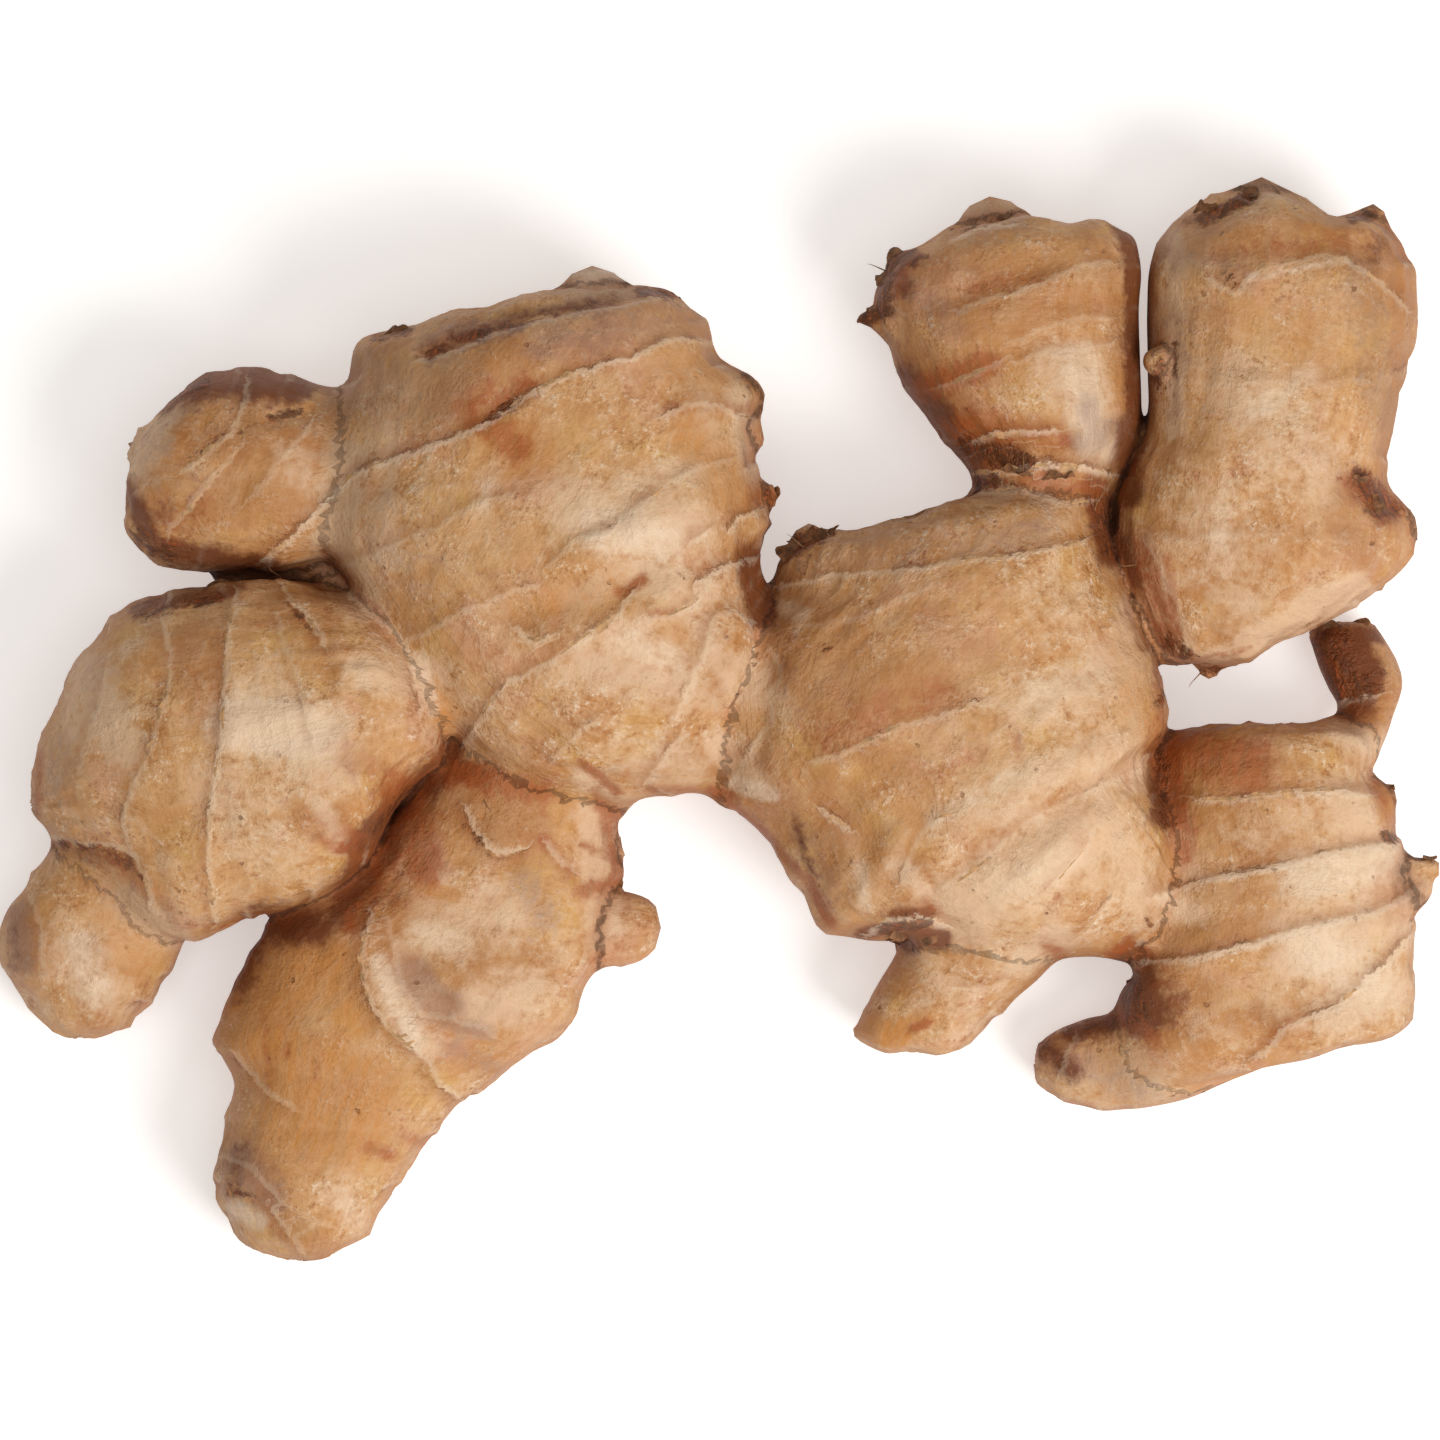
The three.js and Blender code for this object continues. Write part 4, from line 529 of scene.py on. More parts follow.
# Larger scraps of dry scale leaf: [x, y, z, heading in degrees, width, reach, lift].
SCRAPS = [
    [8.2, 22.2, 24, 140, 4, 2.2, 1], [11, 24, 24, 100, 4, 1.8, 1.2], [13.6, 23.6, 24, 70, 3.5, 1.4, 0.9],
    [9.5, 20.5, 30, 160, 3, 1.6, 1], [22.5, -25.4, 24, -110, 6, 1.8, 1.3],
    [26, -24.6, 25, -80, 3, 1.2, 0.9], [20.4, 55.5, 18, 170, 4, 2, 1.2], [21.5, 58, 18, 120, 3, 1.4, 0.9],
    [20.6, 50.6, 17, 190, 2.4, 1.6, 0.8], [36.5, 30.6, 27, 80, 4.5, 1.4, 1],
    [42, 30.2, 27, 95, 4.5, 1.2, 0.9], [80, 29.8, 26, 60, 3, 1, 0.9], [82.2, 27.2, 25, 10, 3, 1, 0.9],
    [60.5, 63.6, 22, 100, 4, 1.2, 0.8], [65.5, 66, 21, 80, 4, 1, 0.7], [-40.5, 48.6, 24, 100, 4, 1, 0.7],
    [6.4, 28, 22, 20, 2.4, 1, 0.6], [76, 11.6, 8, 110, 3.5, 1.4, 0.8], [80.5, 12.4, 8, 80, 3, 1, 0.6],
    [83.6, -8.4, 16, 30, 2.4, 1, 0.6], [88.6, -17.6, 15, 10, 2.4, 1, 0.6],
    [51.6, -32.6, 14, 200, 2.4, 0.9, 0.6], [-12.6, -20.8, 15, -20, 3, 1, 0.6],
    [-62.5, 17.4, 22, -80, 5, 0.9, 0.6],
]

# Fine rootlets: [x, y, z, heading in degrees, tilt up in degrees, length, radius].
ROOTLETS = [
    [47.4, 27.2, 26, 110, 20, 6, 0.13], [48.6, 26, 25, 75, 25, 7, 0.12], [46, 28, 26, 140, 15, 4.5, 0.1],
    [21.5, -25.8, 20, 70, 10, 3, 0.1], [-56.5, 19, 20, -60, 20, 4, 0.1], [10.2, 22.6, 25, 120, 30, 4, 0.12],
    [20.8, 56, 18, 170, 10, 3, 0.12], [60.5, 6.4, 14, -110, -10, 3, 0.1], [-30, -8.6, 26, -60, 25, 4, 0.1],
    [54.4, 20, 22, 200, 20, 4, 0.1], [38, 30.6, 26, 100, 20, 3.5, 0.1],
]

# ---- Numbers ---------------------------------------------------------------------------------------
BITS = 0xFFFFFFFF
SCATTER = (374761393, 668265263, 1440662683, 974634777, 1274126177)  # large numbers that mix the bits
NOISE_GAIN = 1.6  # brings the noise to about -1 to 1
OCTAVE_SEEDS = 17  # how far apart the seeds of a noise's octaves lie


def lattice(i, j, k, seed):
    """A repeatable number from -1 to 1 for each whole-numbered point."""
    n = (i * SCATTER[0] + j * SCATTER[1] + k * SCATTER[2] + seed * SCATTER[3]) & BITS
    n = ((n ^ (n >> 13)) * SCATTER[4]) & BITS
    return ((n ^ (n >> 16)) & 0xFFFF) / 32767.5 - 1


def noise(points, size, seed=0, octaves=1):
    """Smooth noise from about -1 to 1, with swells of that size, at an array of points."""
    total = share = 0.0
    for octave in range(octaves):
        weight = 0.5**octave
        q = points / (size * weight)
        i = np.floor(q).astype(np.int64)
        f = q - i
        f = f * f * f * (f * (f * 6 - 15) + 10)
        value = 0.0
        for up, back, right in np.ndindex(2, 2, 2):
            corner = np.array([right, back, up])
            w = np.prod(np.where(corner, f, 1 - f), axis=-1)
            c = i + corner
            value = value + w * lattice(c[..., 0], c[..., 1], c[..., 2], seed + OCTAVE_SEEDS * octave)
        total = total + weight * value * NOISE_GAIN
        share += weight
    return total / share


def swells(points, seed, waves, base=0.0):
    """Noises of several sizes added to a base."""
    return sum((share * noise(points, size, seed + offset) for size, share, offset in waves), base)


def smooth(low, high, x):
    """0 below low, 1 above high, and a smooth rise between."""
    t = np.clip((x - low) / (high - low), 0, 1)
    return t * t * (3 - 2 * t)


def unit(v):
    return v / np.maximum(np.linalg.norm(v, axis=-1, keepdims=True), 1e-12)


def bell(distance, reach):
    """1 at no distance, falling smoothly to nothing past the reach."""
    return np.exp(-((distance / reach) ** 2))


# ---- Lofting ---------------------------------------------------------------------------------------
SAMPLES_PER_ROW = 60
BASE_RINGS = 5  # rows of points in the rounded end that lies hidden in the mother lobe
FEWEST_TIP_RINGS = 6
FEWEST_SECTORS, FEWEST_BUD_SECTORS = 28, 14
GIRTH = 1.04  # a section's girth over that of a circle of its mean radius
TIP_PITCH = 1.35  # the pitch over a rounded tip, as a share of the mesh pitch
END_SPACING = 1.25  # above 1, the rows of a rounded end lie closer together near its edge
END_ROWS = 0.2  # how far in from its end, in rows, a lobe's last direction is measured
BUD_ENDS = (0.6, 1.05)  # lengths of a bud's sunk end and its tip, as shares of the radius there
BUD_CURVES = (0.62, 1.07)  # half lengths of the ellipses that these two ends are cut from
RING_ROOM = 0.3  # how far a ring may stray, as a share of the gap to the next ring
NO_RING = 8.0  # the distance given where a lobe has no rings
RING_FADE = (1.6, 3.0)  # a ring's strength ends between these distances
FULL_GAP, LEAST_SHARE = 5.0, 0.25  # rings closer than this gap get a smaller step, down to this share
FULL_SIZE = 11  # lobes of a smaller radius get smaller steps
UPPER_SIDE = (0.15, 0.65)  # sines round the section over which seams take the place of the rings
STEP_FADE, STEP_EDGE = 3.4, 0.5  # how far a step is felt, and how far its edge is spread
WANDER_MOVE, STRENGTH_MOVE = 31, 57  # how far the noise is moved on from ring to ring
STRENGTH_SEEDS = 7  # how far apart the seeds of the rings' strengths lie
MEAN_STRENGTH, LEAST_STRENGTH, MOST_STRENGTH = 0.78, 0.08, 1.5
FULL_RELIEF_SIZE = 9  # lobes of a smaller radius get a lower relief
GRAIN_MOVE = 61.0  # how far the grain is moved on from lobe to lobe
EYE_RADII, EYE_HEIGHTS, EYE_FALL = (0.6, 1.3), [-0.3, 0.34, 0.5], 1.4


def row_at(rows, t):
    """The six numbers of the section at places t, on smooth curves through the rows."""
    n = len(rows) - 1
    i = np.clip(np.floor(t).astype(int), 0, n - 1)
    f = (t - i)[..., None]
    p0, p1, p2, p3 = (rows[np.clip(i + k, 0, n)] for k in (-1, 0, 1, 2))
    bend, twist = 2 * p0 - 5 * p1 + 4 * p2 - p3, 3 * p1 - p0 - 3 * p2 + p3
    return 0.5 * (2 * p1 + (p2 - p0) * f + bend * f**2 + twist * f**3)


def middle_of(r):
    return np.stack([(r[..., 0] + r[..., 2]) / 2, (r[..., 1] + r[..., 3]) / 2, r[..., 4]], axis=-1)


def circle_of(sectors, shift=0.0, turn=0.0):
    """The cosines and sines of even angles round a section, shifted by a share of one sector."""
    angle = 2 * math.pi * (np.arange(sectors) + shift) / sectors + turn
    return np.stack([np.cos(angle), np.sin(angle)], axis=-1)


def stations(rows, rings, pitch):
    """Even places for the sections, their path lengths and the lengths at which the rings lie."""
    n = len(rows) - 1
    t = np.linspace(0, n, SAMPLES_PER_ROW * n + 1)
    r = row_at(rows, t)
    top = np.column_stack([middle_of(r)[:, :2], r[:, 4] + r[:, 5]])
    tracks = [np.linalg.norm(np.diff(track, axis=0), axis=1) for track in (r[:, :2], r[:, 2:4], top)]
    step = (np.maximum(tracks[0], tracks[1]) + tracks[2]) / 2
    s = np.concatenate([[0], np.cumsum(step)])
    ring_s = np.interp(rings, t, s) if len(rings) else np.array([])
    found = np.linspace(0, s[-1], max(3, round(s[-1] / pitch)) + 1)
    return np.interp(found, s, t), found, ring_s


def grid_normals(p):
    """Outward normals of a grid of points, rows by sectors, that closes on itself round each row."""
    along = np.gradient(p, axis=0)
    across = np.roll(p, -1, axis=1) - np.roll(p, 1, axis=1)
    normal = unit(np.cross(across, along))
    outward = p - p.mean(axis=1, keepdims=True)
    return -normal if np.sum(normal * outward) < 0 else normal


def ring_shift(s, ring_s, circle, size, seed, style):
    """How far along its rows the lobe is read early or late, so that each ring wanders round it."""
    sectors = len(circle)
    if not len(ring_s):
        return np.zeros((len(s), sectors))
    here = np.column_stack([size * circle, np.zeros(sectors)])
    waves = [
        style.ring_wander * swells(here + WANDER_MOVE * j, seed + j, RING_WAVES) for j in range(len(ring_s))
    ]
    knots = np.concatenate([[0], ring_s, [s[-1]]])
    table = np.vstack([np.zeros(sectors), waves, np.zeros(sectors)])
    shift = np.column_stack([np.interp(s, knots, table[:, k]) for k in range(sectors)])
    gaps = np.diff(knots)
    nearest = np.minimum(np.append(gaps, gaps[-1]), np.insert(gaps, 0, gaps[0]))
    room = np.interp(s, knots, RING_ROOM * nearest)[:, None]
    return np.clip(shift, -room, room)


def rounded_end(rows, row, inner, edge, length, count, style):
    """Rows of points that close a lobe's end over that length, from the edge out, and their pole."""
    first, second = middle_of(row_at(rows, np.array([float(row), float(inner)])))
    onward = unit(first - second)
    shrink = 1 - (1 - np.linspace(1, 0, count + 1)[1:-1]) ** END_SPACING
    lean = np.arccos(np.clip(shrink ** (1 / style.cap_fullness), 0, 1))
    centre = edge.mean(axis=0)
    out = onward * (length * np.sin(lean))[:, None, None]
    return centre + (edge - centre) * shrink[:, None, None] + out, centre + onward * length


def loft(name, rows, rings, caps, seed, style):
    """The grid of one lobe before its relief, with what the relief and the colours need to know."""
    rows = np.array(rows, float)
    n = len(rows) - 1
    pitch = style.pitch
    t, s, ring_s = stations(rows, rings, pitch)
    r = row_at(rows, t)
    size = np.median(np.hypot(r[:, 2] - r[:, 0], r[:, 3] - r[:, 1]) / 2 + r[:, 5]) / 2
    sectors = int(max(FEWEST_SECTORS, round(2 * math.pi * size * GIRTH / pitch)))
    circle = circle_of(sectors, 0.5, -math.pi / 2)
    shift = ring_shift(s, ring_s, circle, size, seed, style)
    r = row_at(rows, np.interp(np.clip(s[:, None] + shift, 0, s[-1]), s, t))
    fuller = np.sign(circle) * np.abs(circle) ** (2 / style.squareness)
    body = middle_of(r)
    body[..., :2] += (r[..., 2:4] - r[..., 0:2]) / 2 * fuller[:, 0, None]
    body[..., 2] += r[..., 5] * fuller[:, 1]
    tip_radius = np.mean(np.linalg.norm(body[-1] - body[-1].mean(axis=0), axis=1))
    tip_rings = max(FEWEST_TIP_RINGS, round(tip_radius / (TIP_PITCH * pitch)))
    base, base_pole = rounded_end(rows, 0, END_ROWS, body[0], caps[0], BASE_RINGS, style)
    tip, tip_pole = rounded_end(rows, n, n - END_ROWS, body[-1], caps[1], tip_rings, style)
    p = np.concatenate([base[::-1], body, tip])
    steps = np.linalg.norm(np.diff(p, axis=0), axis=2)
    return {
        "name": name, "p": p, "poles": [base_pole, tip_pole], "size": size, "seed": seed,
        "circle": circle, "ring_s": ring_s, "base_rows": len(base),
        "row_s": np.concatenate([np.zeros(len(base)), s, np.full(len(tip), s[-1])]),
        "length": np.concatenate([[np.zeros(sectors)], np.cumsum(steps, axis=0)]),
    }


def bud_lobe(index, bud, style):
    """A bud, stub or mound: a round loft from its root to its blunt tip."""
    a, b = np.array(bud[:3], float), np.array(bud[3:6], float)
    root, tip = bud[6:]
    span = np.linalg.norm(b - a)
    onward = (b - a) / span
    start, reach = -BUD_ENDS[0] * root, span + tip * BUD_ENDS[1]
    u = np.linspace(start, reach, max(9, round(reach / style.pitch)) + 4)[1:-1]
    sunk = root * np.sqrt(np.clip(1 - (u / (BUD_CURVES[0] * root)) ** 2, 0, 1))
    stem = root + (tip - root) * smooth(0, 1, u / span)
    end = tip * np.sqrt(np.clip(1 - ((u - span) / (BUD_CURVES[1] * tip)) ** 2, 0, 1))
    swell = np.where(u < 0, sunk, np.where(u < span, stem, end))
    sectors = int(max(FEWEST_BUD_SECTORS, round(2 * math.pi * (root + tip) / 2 / style.pitch)))
    circle = circle_of(sectors)
    side = unit(np.cross(onward, [0, 0, 1.0] if abs(onward[2]) < 0.9 else [1.0, 0, 0]))
    spokes = circle[:, 0, None] * side + circle[:, 1, None] * np.cross(side, onward)
    return {
        "name": "bud%d" % index, "p": a + onward * u[:, None, None] + spokes * swell[:, None, None],
        "poles": [a + onward * start, a + onward * reach], "size": (root + tip) / 2,
        "seed": 300 + index, "circle": circle, "ring_s": np.array([]), "base_rows": 0, "row_s": u,
        "length": np.repeat((u - start)[:, None], sectors, axis=1),
    }


def ring_fields(lobe, style):
    """Each point's distance past the nearest ring, the strength of that ring, and the rings' steps."""
    length, row_s, ring_s, circle = lobe["length"], lobe["row_s"], lobe["ring_s"], lobe["circle"]
    shape, seed = length.shape, lobe["seed"]
    if not len(ring_s):
        return np.full(shape, NO_RING), np.zeros(shape), np.zeros(shape), np.zeros(shape)
    here = np.column_stack([lobe["size"] * circle, np.zeros(shape[1])])
    at = np.array([[np.interp(ring, row_s, column) for column in length.T] for ring in ring_s])
    strength = np.array([
        swells(here + STRENGTH_MOVE * j, seed + STRENGTH_SEEDS * j, RING_STRENGTHS, MEAN_STRENGTH)
        for j in range(len(at))
    ]).clip(LEAST_STRENGTH, MOST_STRENGTH)
    closest = np.argmin(np.abs(row_s[:, None] - ring_s[None]), axis=1)
    distance = length - at[closest]
    power = strength[closest] * (1 - smooth(*RING_FADE, np.abs(distance)))
    gaps = np.diff(at, axis=0) if len(at) > 1 else np.full((1, shape[1]), 9.0)
    room = np.clip(np.concatenate([gaps[:1], gaps, gaps[-1:]]) / FULL_GAP, LEAST_SHARE, 1.0)
    step = style.ring_step * min(1.0, lobe["size"] / FULL_SIZE)
    plain = 1 - 0.8 * smooth(*UPPER_SIDE, circle[:, 1])
    relief = np.zeros(shape)
    for j, ring in enumerate(at):
        d = length - ring
        height = np.minimum(room[j], room[j + 1]) * strength[j] * step
        relief -= plain * height * 0.5 * np.exp(-np.abs(d) / STEP_FADE) * np.tanh(d / STEP_EDGE)
    band = np.searchsorted(ring_s, row_s)
    tone = lattice(band, seed, 0, 5)[:, None] * np.ones(shape)
    return distance, power, relief, tone


def relief_of(lobe, style):
    """How far the skin stands proud of the plain loft, in millimetres."""
    p, seed, size, length = lobe["p"], lobe["seed"], lobe["size"], lobe["length"]
    distance, power, steps, tone = ring_fields(lobe, style)
    fine = min(1.0, size / FULL_RELIEF_SIZE)
    radial = np.broadcast_to(size * lobe["circle"], (*length.shape, 2))
    grain = np.concatenate([radial, length[..., None]], axis=-1) + seed * GRAIN_MOVE
    pucker = 0.55 + 0.9 * np.exp(-np.abs(distance) / 2.5) + 0.5 * noise(p, 9, seed + 3)
    wrinkles = (1 - np.abs(noise(grain * [1, 1, 0.16], 3.1, seed + 21, 2))) ** 2 - 0.5
    ripples = noise(grain * [0.3, 0.3, 1], 1.9, seed + 33)
    grit = noise(p, 1.5, seed + 44)
    d = steps + style.lumps * swells(p, seed, LUMP_WAVES) * fine
    d += style.wrinkles * fine * (wrinkles * np.clip(pucker, 0, 2) + 0.35 * ripples + 0.3 * grit)
    # Root eyes: small raised dots and shallow pits where rootlets left the skin.
    rng = np.random.default_rng(seed)
    rows, sectors = d.shape
    for _ in range(int(style.eyes * size / 10)):
        i, k = rng.integers(4, rows - 2), rng.integers(0, sectors)
        radius = rng.uniform(*EYE_RADII) * fine
        height = rng.choice(EYE_HEIGHTS) * rng.uniform(0.5, 1)
        gap = np.linalg.norm(p - p[i, k], axis=-1)
        d += height * fine * np.exp(-((gap / radius) ** 2) * EYE_FALL)
    d[: lobe["base_rows"]] = 0
    lobe.update(distance=distance, power=power, tone=tone, grain=grain)
    return d


def faces_of(rows, sectors, flip=False):
    """Quads between the rows and triangles to a pole at each end; the poles follow the grid."""
    i = np.arange(rows - 1)[:, None] * sectors
    k = np.arange(sectors)
    nxt = (k + 1) % sectors
    quads = np.stack([i + k, i + nxt, i + sectors + nxt, i + sectors + k], axis=-1).reshape(-1, 4)
    end, last = rows * sectors, (rows - 1) * sectors
    first_fan = np.stack([np.full(sectors, end), nxt, k], axis=-1)
    last_fan = np.stack([np.full(sectors, end + 1), last + k, last + nxt], axis=-1)
    turn = slice(None, None, -1 if flip else 1)
    return [face for part in (quads, first_fan, last_fan) for face in part[:, turn].tolist()]


# ---- The skin --------------------------------------------------------------------------------------
CREASE_REACH = 8.0  # how far the nearest other lobe is looked for
FAR = 9.0  # the distance given where no other lobe or no seam is near
FILLET_HEIGHT = 0.3  # how far the skin is pushed out where two lobes touch, as a share of the reach
SEAM_BOX, SEAM_FADE = 7, 1.7  # how far a seam is looked for, and how far its colours are felt
SEAM_STEP, SEAM_STEP_FADE, SEAM_STEP_EDGE = 0.55, 2.4, 0.75  # a seam's step: height, reach, spread
STROKE_BOX, PULL_BOX = 3, 2.5  # how many times its reach a stroke and a pull are looked for
SPOT_FALL = 0.8  # below 1 the stains keep more of their strength towards their reach
JOIN_REACH = (1.2, 1.3)  # the width softened at a join, and what a flow of 1 adds to it
UPWARD, FACING = (-0.15, 0.3), (-0.3, 0.1)  # the normal's rise over which seams and stains begin
FIRST_SEED = 11
UNIONED_AT_LEAST = 1000  # vertices; fewer mean that the union failed


def faces_out(points, faces):
    """Whether the faces of a closed mesh face out: the volume they enclose is positive."""
    total = 0.0
    for face in faces:
        a = points[face[0]]
        for j in range(1, len(face) - 1):
            total += np.dot(a, np.cross(points[face[j]], points[face[j + 1]]))
    return total >= 0


def corners_of(lobe):
    return np.concatenate([lobe["shape"].reshape(-1, 3), lobe["poles"]])


def closed_mesh(lobe):
    """One lobe as a closed mesh, in metres, facing out."""
    rows, sectors = lobe["shape"].shape[:2]
    points = corners_of(lobe) * MM
    faces = faces_of(rows, sectors)
    if not faces_out(points, faces[:: max(1, len(faces) // 4000)]):
        faces = faces_of(rows, sectors, flip=True)
    return mesh_of(lobe["name"], points, faces)


def mesh_of(name, points, faces):
    """A mesh over points in metres."""
    mesh = bpy.data.meshes.new(name)
    mesh.from_pydata(np.asarray(points).tolist(), [], faces)
    return mesh


def fillet_reach(first, second, style):
    """The reach of the fillet between two lobes, and of the flesh that flows from one to the other."""
    if "bud" in first + second:
        return style.bud_fillet, 0.0
    soft = SOFT_JOINS.get((first, second)) or SOFT_JOINS.get((second, first)) or style.fillet
    return soft, soft


def meet(lobes, style):
    """Fillets where lobes meet, and each point's distance to the nearest other lobe."""
    trees = [
        BVHTree.FromPolygons(corners_of(lobe).tolist(), faces_of(*lobe["shape"].shape[:2])) for lobe in lobes
    ]
    boxes = [(lobe["shape"].min(axis=(0, 1)), lobe["shape"].max(axis=(0, 1))) for lobe in lobes]
    pushes = []
    for i, lobe in enumerate(lobes):
        points = lobe["shape"].reshape(-1, 3)
        crease, flow, push = np.full(len(points), FAR), np.zeros(len(points)), np.zeros(len(points))
        for j, other in enumerate(lobes):
            if i == j:
                continue
            soft, flowing = fillet_reach(lobe["name"], other["name"], style)
            reach = max(CREASE_REACH, soft)
            low, high = boxes[j]
            close = np.nonzero(np.all((points > low - reach) & (points < high + reach), axis=1))[0]
            for index in close:
                _, _, _, gap = trees[j].find_nearest(Vector(points[index]), reach)
                if gap is None:
                    continue
                if gap < crease[index]:
                    crease[index], flow[index] = gap, flowing
                if gap < soft:
                    push[index] = max(push[index], FILLET_HEIGHT * soft * (1 - gap / soft) ** 2)
        shape = lobe["shape"].shape[:2]
        lobe.update(crease=crease.reshape(shape), flow=flow.reshape(shape))
        pushes.append(push.reshape(shape))
    for lobe, push in zip(lobes, pushes):
        lobe["shape"] = lobe["shape"] + lobe["normal"] * push[..., None]


def make_lobes(style):
    lobes = [
        loft(name, lobe["rows"], lobe["rings"], lobe["caps"], FIRST_SEED + i, style)
        for i, (name, lobe) in enumerate(LOBES.items())
    ]
    lobes += [bud_lobe(i, bud, style) for i, bud in enumerate(BUDS)]
    for lobe in lobes:
        lobe["normal"] = grid_normals(lobe["p"])
        lobe["shape"] = lobe["p"] + lobe["normal"] * relief_of(lobe, style)[..., None]
    meet(lobes, style)
    return lobes


def joined(lobes):
    """All the lobes as one closed mesh."""
    scene = bpy.context.scene
    folder = bpy.data.collections.new("lobes")
    scene.collection.children.link(folder)
    objects = []
    for lobe in lobes:
        o = bpy.data.objects.new(lobe["name"], closed_mesh(lobe))
        (folder if objects else scene.collection).objects.link(o)
        objects.append(o)
    join = objects[0].modifiers.new("join", "BOOLEAN")
    join.operation, join.solver = "UNION", "MANIFOLD"
    join.operand_type, join.collection = "COLLECTION", folder
    graph = bpy.context.evaluated_depsgraph_get()
    mesh = bpy.data.meshes.new_from_object(objects[0].evaluated_get(graph))
    for o in objects:
        data = o.data
        bpy.data.objects.remove(o)
        bpy.data.meshes.remove(data)
    bpy.data.collections.remove(folder)
    if len(mesh.vertices) < UNIONED_AT_LEAST:
        raise RuntimeError("the lobes did not join")
    return mesh


def read(items, name, width=3, kind=float):
    """One value of every vertex or edge of a mesh, as rows of that width."""
    values = np.empty(len(items) * width, kind)
    items.foreach_get(name, values)
    return values.reshape(-1, width)


def move(mesh, co):
    """Puts the vertices at those places, in millimetres."""
    mesh.vertices.foreach_set("co", (co * MM).ravel())
    mesh.update()


def give(mesh, name, values):
    """Keeps a number or a vector for every vertex, for the materials to read."""
    kind, key = ("FLOAT", "value") if values.ndim == 1 else ("FLOAT_VECTOR", "vector")
    layer = mesh.attributes.new(name, kind, "POINT")
    layer.data.foreach_set(key, values.astype(np.float32).ravel())


def line_field(xy, numbers):
    """Distance of each point from a line through several points, positive on the line's left."""
    points = np.array(numbers, float).reshape(-1, 2)
    best = np.full(len(xy), 99.0)
    for a, b in zip(points, points[1:]):
        along = b - a
        share = np.clip((xy - a) @ along / max(along @ along, 1e-9), 0, 1)
        off = xy - a - share[:, None] * along
        side = along[0] * off[:, 1] - along[1] * off[:, 0]
        found = np.linalg.norm(off, axis=1) * np.where(side < 0, -1, 1)
        best = np.where(np.abs(found) < np.abs(best), found, best)
    return best


def near(xy, numbers, reach):
    """The points that lie within reach of the line's box."""
    points = np.array(numbers, float).reshape(-1, 2)
    low, high = points.min(axis=0) - reach, points.max(axis=0) + reach
    return np.nonzero(np.all((xy > low) & (xy < high), axis=1))[0]


def seam_fields(xy):
    """Signed distance to the seam that matters most at each point, its strength, and the relief."""
    distance, power, relief = np.full(len(xy), FAR), np.zeros(len(xy)), np.zeros(len(xy))
    for strength, step, *numbers in SEAMS:
        at = near(xy, numbers, SEAM_BOX)
        d = line_field(xy[at], numbers)
        fade = strength * bell(d, SEAM_FADE)
        fall = np.tanh(d / SEAM_STEP_EDGE) * np.exp(-np.abs(d) / SEAM_STEP_FADE)
        relief[at] -= SEAM_STEP * step * fall
        stronger = fade > power[at]
        distance[at[stronger]], power[at[stronger]] = d[stronger], fade[stronger]
    for height, reach, *numbers in FOLDS:
        at = near(xy, numbers, STROKE_BOX * reach)
        relief[at] += height * bell(line_field(xy[at], numbers), reach)
    return distance, power, relief


def spot_field(xy, spots):
    """How much each point lies under any of the strokes [x, y, x, y, reach, strength]."""
    total = np.zeros(len(xy))
    for *numbers, reach, strength in spots:
        at = near(xy, numbers, STROKE_BOX * reach)
        share = np.exp(-((line_field(xy[at], numbers) / reach) ** 2) * SPOT_FALL)
        total[at] = np.maximum(total[at], strength * share)
    return total


def pulled(xy):
    """How far the swells and dips of the outline move each point in plan."""
    total = np.zeros_like(xy)
    for x, y, dx, dy, reach in PULLS:
        at = near(xy, (x, y), PULL_BOX * reach)
        share = np.exp(-((xy[at] - [x, y]) ** 2).sum(axis=1) / reach**2)
        total[at] += share[:, None] * [dx, dy]
    return total


def hollow_field(co):
    """How deep each point lies in one of the hollows, where painted shade gathers."""
    hollow = np.zeros(len(co))
    for x, y, z, reach in HOLLOWS:
        hollow = np.maximum(hollow, bell(np.linalg.norm(co - [x, y, z], axis=1), reach))
    return hollow


def softened(mesh, co, weight, passes):
    """The vertices drawn towards the middle of their neighbours, by that weight, several times."""
    edges = read(mesh.edges, "vertices", 2, int)
    count = np.bincount(edges.ravel(), minlength=len(co)).astype(float)
    for _ in range(passes):
        total = np.zeros_like(co)
        for a, b in ((0, 1), (1, 0)):
            for axis in range(3):
                total[:, axis] += np.bincount(edges[:, a], co[edges[:, b], axis], minlength=len(co))
        co = co + (total / count[:, None] - co) * (0.5 * weight)[:, None]
    return co


def nearest_corners(lobes, co):
    """For each vertex of the joined mesh, the number of the lobes' grid point that it came from."""
    points = np.concatenate([lobe["shape"].reshape(-1, 3) for lobe in lobes])
    tree = KDTree(len(points))
    for i, point in enumerate(points):
        tree.insert(point, i)
    tree.balance()
    return np.array([tree.find(point)[1] for point in co])


